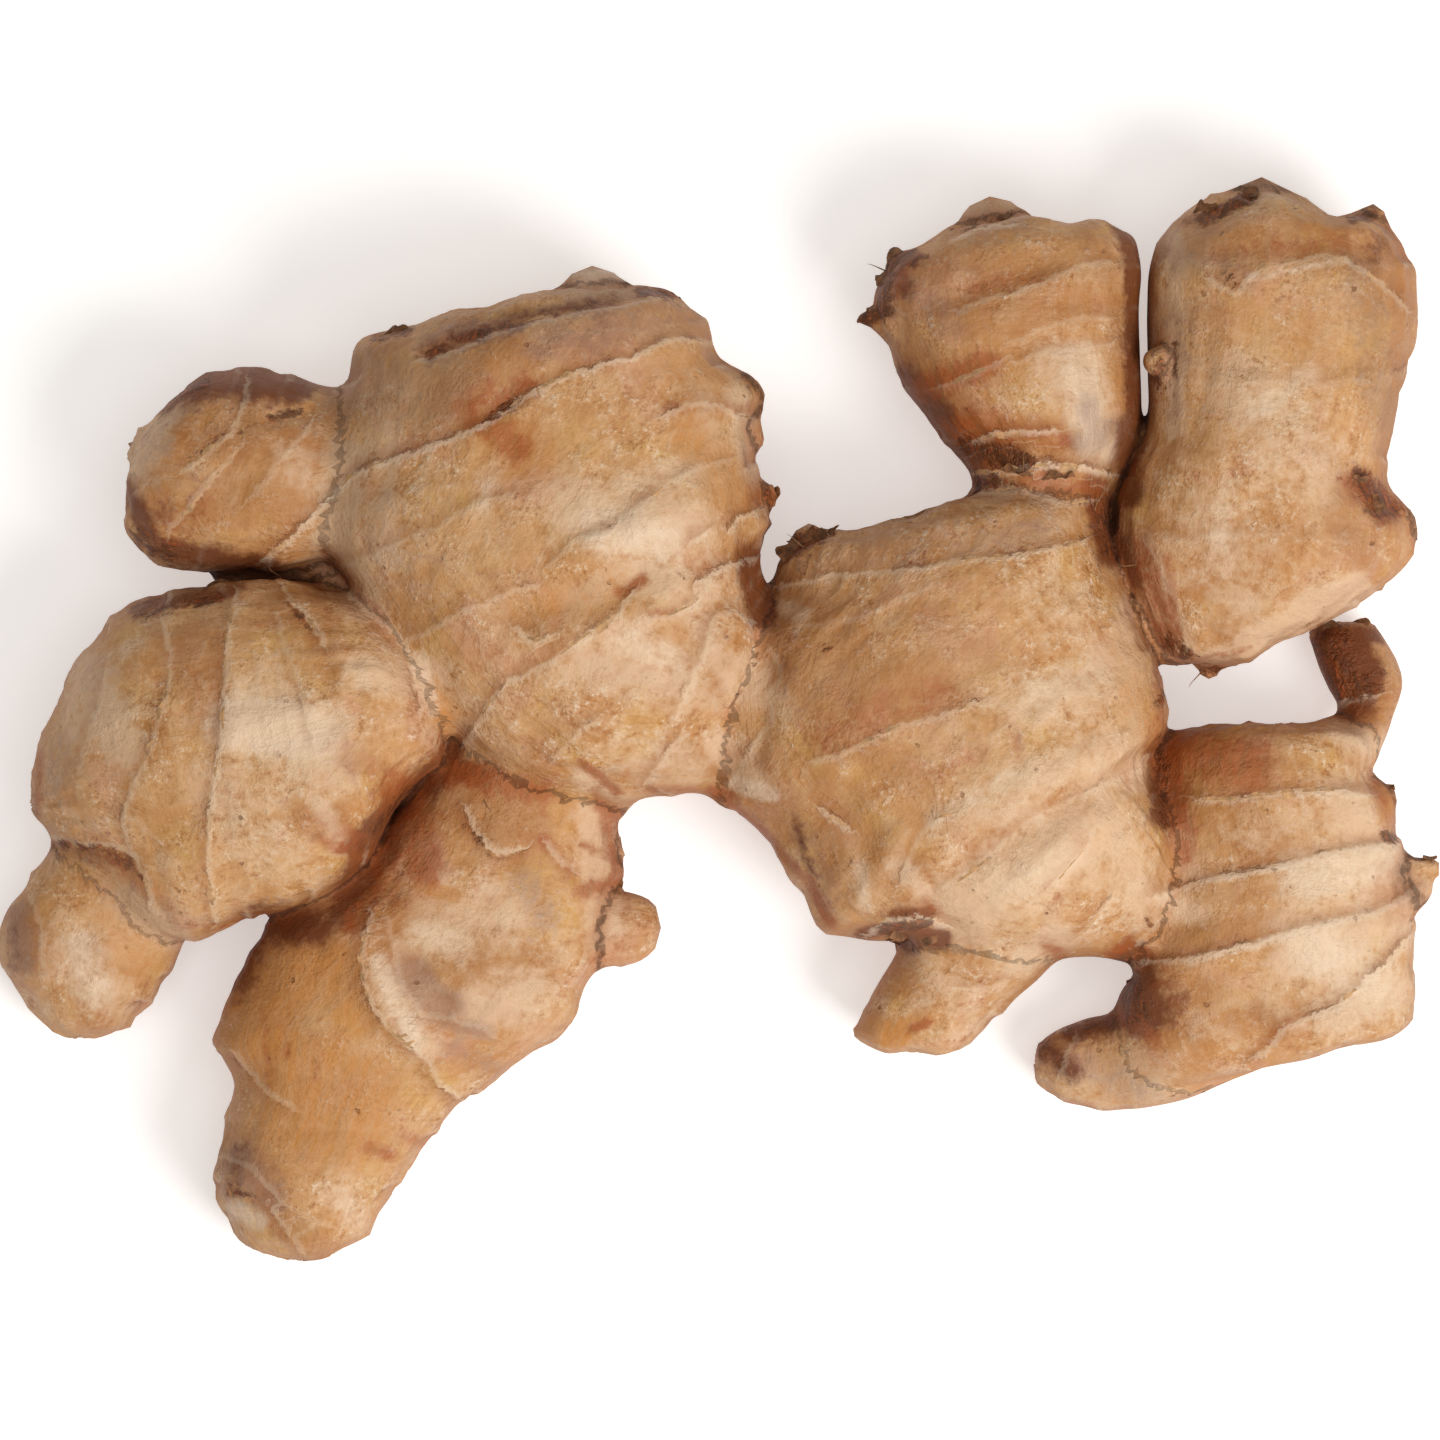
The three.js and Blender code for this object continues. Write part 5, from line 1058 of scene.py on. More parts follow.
def make_skin(style):
    """The one skin: joined, softened where lobes meet, drawn to its outline, with seams and folds."""
    lobes = make_lobes(style)
    mesh = joined(lobes)
    co = read(mesh.vertices, "co") / MM
    nearest = nearest_corners(lobes, co)
    keys = ("distance", "power", "crease", "tone", "flow")
    ring, power, crease, tone, flow = (
        np.concatenate([lobe[key].ravel() for lobe in lobes])[nearest] for key in keys
    )
    grain = np.concatenate([lobe["grain"].reshape(-1, 3) for lobe in lobes])[nearest]
    lobe_tone = [np.full(lobe["tone"].size, LOBE_TONE.get(lobe["name"], 0.0)) for lobe in lobes]

    # The lobes' flesh is merged, and the line where two lobes meet is softened, less so in a hollow.
    hollow = hollow_field(co)
    reach = JOIN_REACH[0] + JOIN_REACH[1] * flow * (1 - 0.7 * hollow)
    weight = (1 - smooth(0.3 * reach, reach, crease)) * (1 - 0.6 * hollow)
    co = softened(mesh, co, weight, style.seam_smoothing)
    co[:, :2] += pulled(co[:, :2])
    move(mesh, co)

    # The seams and folds stand on the upper side only, and the low spots rest on the ground.
    normals = read(mesh.vertex_normals, "vector")
    upward = smooth(*UPWARD, normals[:, 2])
    seam, seam_power, relief = seam_fields(co[:, :2])
    co += normals * (relief * upward * smooth(0.0, 1.2, crease))[:, None]
    co[:, 2] = np.maximum(co[:, 2], 0)
    move(mesh, co)

    fields = {
        "ring": ring,
        "ring_power": power * (1 - 0.85 * smooth(0.1, 0.5, normals[:, 2])),
        "seam": seam,
        "seam_power": seam_power * upward,
        "crease": crease + 0.6 * np.maximum(flow - 0.9, 0) * (1 - hollow),
        "tone": tone,
        "lobe_tone": np.concatenate(lobe_tone)[nearest],
        "grain": grain,
        "down": (1 - read(mesh.vertex_normals, "vector")[:, 2]) / 2,
        "deep": hollow,
    }
    facing = smooth(*FACING, normals[:, 2])
    fields.update({name: spot_field(co[:, :2], spots) * facing for name, spots in SPOTS.items()})
    for name, values in fields.items():
        give(mesh, name, values)
    mesh.shade_smooth()
    return mesh


def new_piece(name, mesh, material):
    piece = bpy.data.objects.new(name, mesh)
    bpy.context.scene.collection.objects.link(piece)
    mesh.materials.clear()
    mesh.materials.append(material)
    return piece


def carry(piece):
    """The piece rides on the root body."""
    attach(piece, BODY)


# ---- Materials -------------------------------------------------------------------------------------
class Socket:
    """A shader value. Arithmetic on it adds Math nodes."""

    def __init__(self, nodes, socket):
        self.nodes, self.socket = nodes, socket

    def maths(self, operation, *values, clamp=False):
        settings = {"operation": operation, "use_clamp": clamp}
        return self.nodes.add("ShaderNodeMath", settings, dict(enumerate(values)))

    def __add__(self, other):
        return self.maths("ADD", self, other)

    def __sub__(self, other):
        return self.maths("SUBTRACT", self, other)

    def __rsub__(self, other):
        return self.maths("SUBTRACT", other, self)

    def __mul__(self, other):
        return self.maths("MULTIPLY", self, other)

    def __abs__(self):
        return self.maths("ABSOLUTE", self)

    __radd__, __rmul__ = __add__, __mul__

    def clamped(self):
        return self.maths("ADD", self, 0.0, clamp=True)

    def rise(self, low, high):
        """0 at low, 1 at high, with a smooth rise between; low may be the larger."""
        sockets = {"Value": self, "From Min": low, "From Max": high, "To Min": 0.0, "To Max": 1.0}
        return self.nodes.add("ShaderNodeMapRange", {"interpolation_type": "SMOOTHSTEP"}, sockets)


class Nodes:
    """A material's node tree, filled through one method."""

    def __init__(self, name):
        self.material = bpy.data.materials.new(name)
        self.material.use_nodes = True
        self.tree = self.material.node_tree
        self.tree.nodes.clear()

    def add(self, kind, settings=None, sockets=None, out=0):
        node = self.tree.nodes.new(kind)
        for key, value in (settings or {}).items():
            setattr(node, key, value)
        for key, value in (sockets or {}).items():
            if isinstance(value, Socket):
                self.tree.links.new(value.socket, node.inputs[key])
            else:
                node.inputs[key].default_value = value
        return Socket(self, node.outputs[out]) if node.outputs else None

    def attribute(self, name, out="Fac"):
        return self.add("ShaderNodeAttribute", {"attribute_name": name}, out=out)

    def place(self):
        """The place on the object, in millimetres."""
        return self.scaled(self.add("ShaderNodeTexCoord", out="Object"), (1 / MM,) * 3)

    def scaled(self, vector, factors):
        return self.add("ShaderNodeVectorMath", {"operation": "MULTIPLY"}, {0: vector, 1: factors})

    def moved(self, vector, offset):
        return self.add("ShaderNodeVectorMath", {"operation": "ADD"}, {0: vector, 1: offset})

    def noise(self, vector, size, detail=2.0, rough=0.5, twist=0.0):
        """Noise about 0 to 1 with swells of that size, where vector is in millimetres."""
        sockets = {"Scale": 1 / size, "Detail": detail, "Roughness": rough, "Distortion": twist}
        return self.add("ShaderNodeTexNoise", {}, {"Vector": vector, **sockets}, out="Fac")

    def cells(self, vector, size):
        """Distance to the nearest of scattered points, which lie about that size apart."""
        sockets = {"Vector": vector, "Scale": 1 / size}
        return self.add("ShaderNodeTexVoronoi", {"feature": "F1"}, sockets, out="Distance")

    def mix(self, first, second, factor):
        """A colour between two colours."""
        colours = [c if isinstance(c, Socket) else (*c, 1) for c in (first, second)]
        settings = {"data_type": "RGBA", "blend_type": "MIX"}
        return self.add("ShaderNodeMix", settings, {0: factor, 6: colours[0], 7: colours[1]}, out=2)

    def bump(self, strength, millimetres, height):
        sockets = {"Strength": strength, "Distance": millimetres * MM, "Height": height}
        return self.add("ShaderNodeBump", {}, sockets)

    def finish(self, sockets):
        surface = self.add("ShaderNodeBsdfPrincipled", {}, sockets)
        self.add("ShaderNodeOutputMaterial", {}, {"Surface": surface})
        return self.material


def linear(r, g, b):
    """A colour given as 0 to 255 display values, as the shader's linear values."""
    return tuple(((c / 255 + 0.055) / 1.055) ** 2.4 if c > 10 else c / 255 / 12.92 for c in (r, g, b))


def skin_material(style):
    """Dry, ringed, papery skin: clouds, fibres, scurf, stains, painted light and shade, band edges, scars
    and creases with dirt and painted shade.
    """
    n = Nodes("ginger_skin")
    place = n.place()
    grain = n.attribute("grain", "Vector")
    crease, down = n.attribute("crease"), n.attribute("down")

    fibres = n.noise(n.scaled(grain, (1, 1, 0.12)), 0.8, 2, 0.62, 0.3)
    ripples = n.noise(n.scaled(grain, (0.22, 0.22, 1)), 0.9, 2, 0.6, 0.4)
    blotch = n.noise(place, 15, 2, 0.5)
    cloud = n.noise(n.moved(place, (40, 10, 5)), 6.0, 3, 0.6, 0.5)
    patch = n.noise(n.moved(place, (-30, 5, 25)), 3.0, 3, 0.66, 0.6)
    grit = n.noise(place, 0.62, 2, 0.72)
    ragged = n.noise(place, 1.4, 3, 0.68)
    broken = n.noise(place, 5.2, 2, 0.6)

    # The bare skin: tan with paler and warmer clouds, and finer mottling in them.
    warmth = 0.6 * blotch + 0.4 * cloud + 0.09 * n.attribute("tone") + 0.22 * n.attribute("lobe_tone")
    colour = n.mix(style.warm, style.base, warmth.rise(0.34, 0.62))
    hue = n.noise(n.moved(place, (9, -21, 3)), 9.0, 2, 0.6, 0.5)
    colour = n.mix(colour, style.pink, hue.rise(0.46, 0.3) * 0.7)
    colour = n.mix(colour, style.straw, hue.rise(0.54, 0.7) * 0.6)
    colour = n.mix(colour, style.light, (cloud * 0.5 + patch * 0.5).rise(0.47, 0.7) * 0.55)
    colour = n.mix(colour, style.deep, (patch * 0.6 + ragged * 0.4).rise(0.5, 0.3) * 0.42)
    threads = fibres * 0.5 + ripples * 0.5
    colour = n.mix(colour, style.light, threads.rise(0.52, 0.68) * 0.3)
    colour = n.mix(colour, style.deep, threads.rise(0.48, 0.33) * 0.35)

    # Papery skin that has lifted, with crisp ragged borders.
    sheet = n.noise(n.moved(n.scaled(grain, (1, 1, 0.6)), (7, 3, 1)), 6.0, 4, 0.64, 0.8)
    paper = sheet.rise(0.54, 0.565)
    rim = abs(sheet - 0.535).rise(0.014, 0.0) * broken.rise(0.42, 0.62)
    colour = n.mix(colour, style.paper, paper * (0.12 + 0.3 * cloud))
    colour = n.mix(colour, style.deep, rim * 0.4)

    # Scurf: pale flecks and brown specks in drifts.
    drift = (broken * 0.5 + cloud * 0.5).rise(0.42, 0.62)
    scurf = grit * 0.75 + ragged * 0.5
    colour = n.mix(colour, style.silver, scurf.rise(0.66, 0.8) * (0.1 + 0.7 * drift))
    colour = n.mix(colour, style.brown_and_shade, scurf.rise(0.6, 0.45) * (0.12 + 0.5 * drift))

    # Stains, worn silvery places, and painted light and shade: the pale strokes paint light, the brown, grey
    # and umber strokes partly paint shade and the silvery strokes partly paint highlights.
    amber = n.mix(style.amber, style.warm, fibres.rise(0.4, 0.6))
    stains = [("brown", style.deep, 0.6), ("pale", style.light, 0.7), ("grey", style.shade, 0.5)]
    stains += [("mauve", style.mauve, 0.6), ("amber", amber, 0.75), ("umber", style.umber, 0.88)]
    for name, hue, amount in stains:
        mask = n.attribute(name) + (patch - 0.5) * 0.8 + (ragged - 0.5) * 0.9
        colour = n.mix(colour, hue, (mask.rise(0.15, 0.85) * amount).clamped())
    silver = (n.attribute("silver") * (0.35 + ragged * 1.3)).rise(0.22, 0.85) * (0.45 + fibres)
    colour = n.mix(colour, style.silver, (silver * 0.5).clamped())
    rust = (n.attribute("rust") + (ragged - 0.5) * 1.0 + (patch - 0.5) * 1.0).rise(0.25, 1.05)
    streaked = n.mix(style.rust, style.brown_and_shade, (fibres * 0.6 + ragged * 0.4).rise(0.52, 0.4))
    colour = n.mix(colour, streaked, rust * 0.8)

    # Painted shade: skin that faces out and down is browner.
    brown_and_shade = (down + (blotch - 0.5) * 0.2 + (ragged - 0.5) * 0.22).rise(0.2, 0.6)
    colour = n.mix(colour, style.brown_and_shade, brown_and_shade * 0.6)

    # Edges of the bands: a brown stain with painted shadow past the edge, a paler lip with a painted
    # highlight before it and a ragged broken line.
    line = lip = 0
    for name, amount, paleness in (("ring", 0.8, 0.28), ("seam", 1.0, 0.5)):
        power = n.attribute(name + "_power") * amount
        edge = n.attribute(name) + (ragged - 0.5) * 1.7 + (grit - 0.5) * 0.9
        stain_and_step_shadow = edge.rise(-0.5, 0.3) * edge.rise(3.2, 0.2) * power * (0.3 + broken)
        colour = n.mix(colour, style.brown_and_shade, (stain_and_step_shadow * 0.62).clamped())
        pale = edge.rise(-1.2, -0.5) * edge.rise(0.1, -0.3) * power * (0.4 + patch * 1.2)
        colour = n.mix(colour, style.silver, (pale * paleness).clamped())
        worn = (power + (patch - 0.5) * 2.0 + (broken - 0.5) * 2.0).rise(0.45, 1.3)
        dark = abs(edge - 0.15).rise(0.34, 0.03) * worn
        colour = n.mix(colour, style.crack, (dark * 0.5).clamped())
        line, lip = dark + line, pale + lip

    # A few pits, the dirt and painted shade of the creases, and the scars.
    pits = (n.cells(place, 3.4) + (grit - 0.5) * 0.25).rise(0.12, 0.05) * cloud.rise(0.48, 0.6)
    colour = n.mix(colour, style.crack, pits * 0.6)
    deep = n.attribute("deep")
    dirt_and_shade = (crease + (ragged - 0.5) * 2.4 - deep * 2.0).rise(2.8, 0.2)
    crease_tint = n.mix(style.brown_and_shade, style.rust, broken.rise(0.25, 0.5))
    colour = n.mix(colour, crease_tint, dirt_and_shade * (0.42 + 0.4 * deep))
    # A dark painted shadow at the bottom of the creases, deepest in the hollows.
    dark = (crease + (ragged - 0.5) * 1.6 - deep * 2.4 + 0.3).rise(1.2, 0.0)
    colour = n.mix(colour, style.crevice, dark * (0.5 + 0.42 * deep))
    torn = n.attribute("scar") + (ragged - 0.5) * 1.5 + (patch - 0.5) * 1.3 + (grit - 0.5) * 0.7
    scar = torn.rise(0.42, 1.0)
    scab = n.mix(style.scar, style.rust, (fibres * 0.5 + grit * 0.5).rise(0.46, 0.66))
    colour = n.mix(colour, scab, scar * 0.85)

    # The relief that is finer than the mesh.
    height = fibres * 0.24 + ripples * 0.22 + grit * (0.2 + 0.5 * drift) + ragged * 0.6 + patch * 0.4
    height = height + paper * 0.1 + lip * 0.16 - line * 0.3 - pits * 0.4 + scar * ragged * 0.9
    rough = 0.61 - silver * 0.16 + dirt_and_shade * 0.15 + (grit - 0.5) * 0.2
    return n.finish({
        "Base Color": colour, "Roughness": rough.clamped(), "Normal": n.bump(1.0, style.bump, height),
        "Specular IOR Level": 0.38, "IOR": 1.45,
    })


def fibre_material(name, colour, rough, size, amount):
    """A dry plant fibre: one colour, mottled darker by that amount at that size in millimetres."""
    n = Nodes(name)
    mottle = n.noise(n.place(), size, 4, 0.6)
    dark = tuple(c * (1 - amount) for c in colour)
    shade = n.mix(dark, colour, mottle.rise(0.35, 0.65))
    return n.finish({"Base Color": shade, "Roughness": rough, "Normal": n.bump(0.6, 0.1, mottle)})


def floor_material(style):
    """A matt pale floor whose own faint light keeps its shadows light."""
    glow = {"Emission Color": (1, 1, 1, 1), "Emission Strength": style.floor_glow}
    sockets = {"Base Color": (*style.floor, 1), "Roughness": 0.95, "Specular IOR Level": 0.0}
    return Nodes("pale_floor").finish({**sockets, **glow})


# ---- Shreds and rootlets ---------------------------------------------------------------------------
SHRED_THICKNESS, SCRAP_THICKNESS = 0.06, 0.12
SHRED_PITCH, SCRAP_PITCH = 0.36, 0.4
SHRED_SEED, SCRAP_SEED, ROOTLET_SEED = 5, 6, 8
ROOTLET_SIDES, ROOTLET_STEPS = 6, 14
HIGHEST = 90  # millimetres, above all of the skin
TALL_STEP = 0.8  # edges this tall or taller have no shreds
LEAST_RISE = 0.15  # of the normal, below which the skin is too steep for a shred
BEHIND = 0.25  # how far a shred is rooted behind its seam
ROOTED = 0.4  # how deep a rootlet starts below the skin
SLENDER = 0.75  # how much thinner a rootlet is at its end
SHRED_ROWS = [(-0.9, -0.25), (-0.1, 0.03)]  # a shred's root: millimetres onward and up
SHRED_BEND = (0.45, 0.55)  # how far out and up its middle row lies, as shares of its free edge


def skin_tree():
    return BVHTree.FromObject(bpy.data.objects[SKIN], bpy.context.evaluated_depsgraph_get())


def direction(heading, tilt=0.0):
    a, b = math.radians(heading), math.radians(tilt)
    return np.array([math.cos(a) * math.cos(b), math.sin(a) * math.cos(b), math.sin(b)])


def sheet_faces(rows, columns, first):
    """A thin closed sheet: the top layer's points, row by row, then the bottom layer's."""
    grid = first + np.arange(rows * columns).reshape(rows, columns)
    size = rows * columns
    faces = []
    for i in range(rows - 1):
        for k in range(columns - 1):
            a, b, c, d = grid[i, k], grid[i, k + 1], grid[i + 1, k + 1], grid[i + 1, k]
            faces += [[a, b, c, d], [a + size, d + size, c + size, b + size]]
    border = [*grid[0], *grid[1:, -1], *grid[-1, -2::-1], *grid[-2:0:-1, 0]]
    faces += [[a, a + size, b + size, b] for a, b in zip(border, border[1:] + border[:1])]
    return faces


def shred(points, faces, crest, normal, onward, reach, lift, thick):
    """Adds one shred: its root is sunk in the skin behind the crest, and its free edge is ragged."""
    taper = np.clip(1 - np.linspace(-1, 1, len(crest)) ** 2, 0, 1)[:, None] ** 0.7
    out, up = onward * reach[:, None] * taper, normal * lift[:, None] * taper
    lines = [crest + onward * along + normal * above for along, above in SHRED_ROWS]
    lines += [crest + out * SHRED_BEND[0] + up * SHRED_BEND[1], crest + out + up]
    top = np.concatenate(lines)
    under = top - np.tile(normal, (len(lines), 1)) * thick
    faces += sheet_faces(len(lines), len(crest), len(points))
    points += [*top, *under]


def land(tree, x, y):
    """The point of the skin straight below a place in plan, and its normal; None off the skin."""
    hit, normal, _, _ = tree.ray_cast(Vector((x, y, HIGHEST)) * MM, Vector((0, 0, -1)))
    return (np.array(hit) / MM, np.array(normal)) if hit else None


def make_shreds(style):
    """Dry shreds of the scale leaves along the seams: each overhangs the lower skin."""
    tree, rng = skin_tree(), np.random.default_rng(SHRED_SEED)
    points, faces = [], []
    for strength, step, *numbers in SEAMS:
        corners = np.array(numbers, float).reshape(-1, 2)
        lengths = np.concatenate([[0], np.cumsum(np.linalg.norm(np.diff(corners, axis=0), axis=1))])
        place = np.arange(0.3, lengths[-1], SHRED_PITCH)
        xy = np.column_stack([np.interp(place, lengths, corners[:, i]) for i in (0, 1)])
        k = int(rng.integers(0, 4))
        while k + 3 < len(xy):
            width = min(int(rng.integers(5, 14)), len(xy) - k - 1)
            if rng.random() < style.shred_share * strength * (step < TALL_STEP):
                run = xy[k : k + width + 1]
                left = unit(np.array([-(run[-1] - run[0])[1], (run[-1] - run[0])[0]]))
                spots = [land(tree, *(at - left * BEHIND)) for at in run]
                if all(spots) and min(spot[1][2] for spot in spots) > LEAST_RISE:
                    crest, normal = (np.array(column) for column in zip(*spots))
                    onward = unit(np.array([*left, 0]) - normal * (normal @ [*left, 0])[:, None])
                    wave = np.sin(np.cumsum(rng.uniform(0.2, 1.5, len(run))) + rng.uniform(0, 6))
                    reach = (0.4 + 0.2 * wave) * (0.75 + 0.35 * step)
                    lift = rng.uniform(-0.08, 0.05) + 0.03 * wave
                    shred(points, faces, crest, normal, onward, reach, lift, SHRED_THICKNESS)
            k += width + int(rng.integers(0, 6))
    return mesh_of("scale_shreds", np.array(points) * MM, faces)


def make_scraps():
    """Larger dark scraps of dead scale leaf round the old scars."""
    tree, rng = skin_tree(), np.random.default_rng(SCRAP_SEED)
    points, faces = [], []
    for x, y, z, heading, width, reach, lift in SCRAPS:
        hit, normal, _, _ = tree.find_nearest(Vector((x, y, z)) * MM)
        normal, out = np.array(normal), direction(heading)
        onward = unit(out - normal * (normal @ out))
        side = np.cross(normal, onward)
        columns = max(6, int(width / SCRAP_PITCH))
        crest = []
        for d in np.linspace(-width / 2, width / 2, columns):
            at = np.array(hit) / MM + side * d + onward * rng.uniform(-0.15, 0.15)
            crest.append(np.array(tree.find_nearest(Vector(at * MM))[0]) / MM)
        ragged = reach * (0.6 + 0.4 * np.sin(np.cumsum(rng.uniform(0.2, 1.9, columns))))
        raised = lift * (0.8 + 0.2 * np.sin(np.cumsum(rng.uniform(0.1, 0.9, columns))))
        tile = np.ones((columns, 1))
        shred(
            points, faces, np.array(crest), normal * tile, onward * tile, ragged, raised, SCRAP_THICKNESS
        )
    return mesh_of("dead_scales", np.array(points) * MM, faces)


def make_rootlets():
    """Fine dry rootlets, each a tapering tube on a wandering line."""
    tree, rng = skin_tree(), np.random.default_rng(ROOTLET_SEED)
    points, faces = [], []
    sides, steps = ROOTLET_SIDES, ROOTLET_STEPS
    circle = circle_of(sides)
    for x, y, z, heading, tilt, length, radius in ROOTLETS:
        hit, normal, _, _ = tree.find_nearest(Vector((x, y, z)) * MM)
        line = [np.array(hit) / MM - np.array(normal) * ROOTED]
        onward = direction(heading, tilt)
        turn = rng.normal(0, 1, 3)
        for _ in range(steps):
            turn = 0.7 * turn + rng.normal(0, 0.5, 3)
            onward = unit(onward + 0.11 * turn)
            line.append(line[-1] + onward * length / steps)
        first = len(points)
        for i, at in enumerate(line):
            along = unit(line[min(i + 1, steps)] - line[max(i - 1, 0)])
            side = unit(np.cross(along, [0.3, 0.2, 1.0]))
            spokes = circle[:, 0, None] * side + circle[:, 1, None] * np.cross(side, along)
            points += [*(at + spokes * radius * (1 - SLENDER * i / steps))]
        for i in range(first, first + steps * sides, sides):
            for k in range(sides):
                a, b = i + k, i + (k + 1) % sides
                faces.append([a, b, b + sides, a + sides])
        faces.append([first + k for k in range(sides - 1, -1, -1)])
        faces.append([first + steps * sides + k for k in range(sides)])
    mesh = mesh_of("rootlets", np.array(points) * MM, faces)
    mesh.shade_smooth()
    return mesh


# ---- The add-on ------------------------------------------------------------------------------------
def length(name, description, millimetres, low=0.0, high=100.0):
    return bpy.props.FloatProperty(
        name=name, description=description, default=millimetres * MM, min=low * MM, max=high * MM,
        unit="LENGTH", precision=5,
    )


def factor(name, description, value):
    return bpy.props.FloatProperty(
        name=name, description=description, default=value, min=0, max=1, subtype="FACTOR"
    )


def count(name, description, value, high):
    return bpy.props.IntProperty(name=name, description=description, default=value, min=0, max=high)


def tint(name, description, colour):
    return bpy.props.FloatVectorProperty(
        name=name, description=description, default=linear(*colour), size=3, min=0, max=1, subtype="COLOR"
    )


class GingerShape(bpy.types.PropertyGroup):
    """The sizes of the skin's relief."""

    pitch: length("Mesh pitch", "Spacing of the mesh's points along and round each lobe", 0.81, 0.4, 5)
    ring_step: length("Ring step", "How far an old band of skin stands proud of the next", 0.55, 0, 3)
    ring_wander: length("Ring wander", "How far a ring strays along its lobe", 0.75, 0, 3)
    lumps: length("Lumps", "Height of the slow swellings of the surface", 0.5, 0, 3)
    wrinkles: length("Wrinkles", "Height of the wrinkles along the lobes", 0.26, 0, 2)
    fillet: length("Fillet", "Reach of the rounding where two lobes meet", 0.9, 0, 10)
    bud_fillet: length("Bud fillet", "Reach of the rounding where a bud leaves its lobe", 2.2, 0, 10)
    bump: length("Fine relief", "Height of the relief that is finer than the mesh", 0.32, 0, 2)
    squareness: bpy.props.FloatProperty(
        name="Section fullness", description="2 is an ellipse, more is fuller", default=2.25, min=2, max=4
    )
    cap_fullness: factor("End fullness", "Below 1 the ends are blunter than a half ellipse", 0.72)
    shred_share: factor("Shreds", "Share of the seams' length that keeps dry shreds", 0.42)
    eyes: count("Root eyes", "Number of root eyes on a lobe of 10 mm radius", 26, 200)
    seam_smoothing: count("Join smoothing", "Passes that soften the lines where lobes meet", 26, 60)


class GingerLook(bpy.types.PropertyGroup):
    """The colours of the skin and the stage."""

    pink: tint("Pinkish skin", "Skin of the cooler clouds", (198, 146, 112))
    straw: tint("Yellowish skin", "Skin of the yellower clouds", (203, 158, 93))
    base: tint("Skin", "Tan of the bare skin", (198, 150, 100))
    warm: tint("Warm skin", "Tan of the warmer clouds", (187, 132, 79))
    # Cream of the paler fibres, also the painted light of the pale strokes.
    light: tint("Pale skin", "Cream of the paler fibres and stains", (218, 186, 153))
    # Brown between the fibres, also the colour of the brown strokes, partly painted shade.
    deep: tint("Deep fibres", "Brown between the fibres", (161, 103, 54))
    paper: tint("Papery skin", "Thin dry skin that has lifted", (207, 170, 133))
    # Silvery peeling skin, also the colour of painted highlights and sheen.
    silver: tint("Silvery skin", "Sheen of the peeling outer skin", (228, 205, 179))
    # Brown of specks, rust streaks and crease dirt, and of the painted shade on skin that faces down and out
    # and past the band edges.
    brown_and_shade: tint("Brown and shade", "Brown of the skin that faces down and out", (145, 82, 37))
    rust: tint("Rust", "Orange-brown of stains and young skin past a ring", (158, 81, 34))
    amber: tint("Amber", "Yellow-brown of thin translucent skin", (190, 126, 60))
    mauve: tint("Mauve", "Dull purple-brown of bruised skin", (148, 110, 92))
    # Grey-brown of dusty skin, also painted shade on the upper ends and sides of the lobes.
    shade: tint("Grey-brown", "Dusty skin of the older sides", (142, 106, 78))
    # Dark red-brown of stains, and of painted shadow in the hollows, slots and notches.
    umber: tint("Umber", "Dark red-brown of the stains in the hollows", (100, 44, 14))
    scar: tint("Scar", "Dark brown of the scars", (84, 45, 20))
    crack: tint("Seam line", "Brown of the band edges and pits", (116, 68, 38))
    # Dirt and dark painted shadow at the bottom of the creases.
    crevice: tint("Crevice", "Dirt at the bottom of the creases", (44, 18, 7))
    shreds: tint("Shreds", "Dry scale leaf", (206, 160, 112))
    scraps: tint("Dead scales", "Dead scale leaf round the scars", (142, 96, 60))
    rootlets: tint("Rootlets", "Dry rootlet", (150, 108, 66))
    floor_glow: factor("Floor glow", "Light of the floor itself, which keeps its shadows pale", 0.42)
    floor: tint("Floor", "The pale floor", (236, 236, 236))


def names_in(group):
    return [name for name in group.bl_rna.properties.keys() if name not in ("rna_type", "name")]


def settings(context):
    """The scene's values with lengths in millimetres and colours as tuples."""
    values = {}
    for group in (context.scene.ginger_shape, context.scene.ginger_look):
        for name in names_in(group):
            rule, value = group.bl_rna.properties[name], getattr(group, name)
            if getattr(rule, "is_array", False):
                value = tuple(value)
            elif getattr(rule, "unit", "") == "LENGTH":
                value = value / MM
            values[name] = value
    return type("Style", (), values)


class GINGER_OT_skin(bpy.types.Operator):
    """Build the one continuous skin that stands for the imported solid"""

    bl_idname = "ginger.skin"
    bl_label = "Rhizome skin"

    def execute(self, context):
        style = settings(context)
        skin = new_piece(SKIN, make_skin(style), skin_material(style))
        carry(skin)
        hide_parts(NODE)
        return {"FINISHED"}


class GINGER_OT_shreds(bpy.types.Operator):
    """Add the dry shreds of scale leaf along the edges of the bands"""

    bl_idname = "ginger.shreds"
    bl_label = "Scale shreds"

    def execute(self, context):
        style = settings(context)
        material = fibre_material("dry_scale", style.shreds, rough=0.75, size=1.6, amount=0.45)
        carry(new_piece("scale_shreds", make_shreds(style), material))
        return {"FINISHED"}


class GINGER_OT_scraps(bpy.types.Operator):
    """Add the larger dark scraps of dead scale leaf round the scars"""

    bl_idname = "ginger.scraps"
    bl_label = "Dead scales"

    def execute(self, context):
        style = settings(context)
        material = fibre_material("dead_scale", style.scraps, rough=0.8, size=1.2, amount=0.6)
        carry(new_piece("dead_scales", make_scraps(), material))
        return {"FINISHED"}


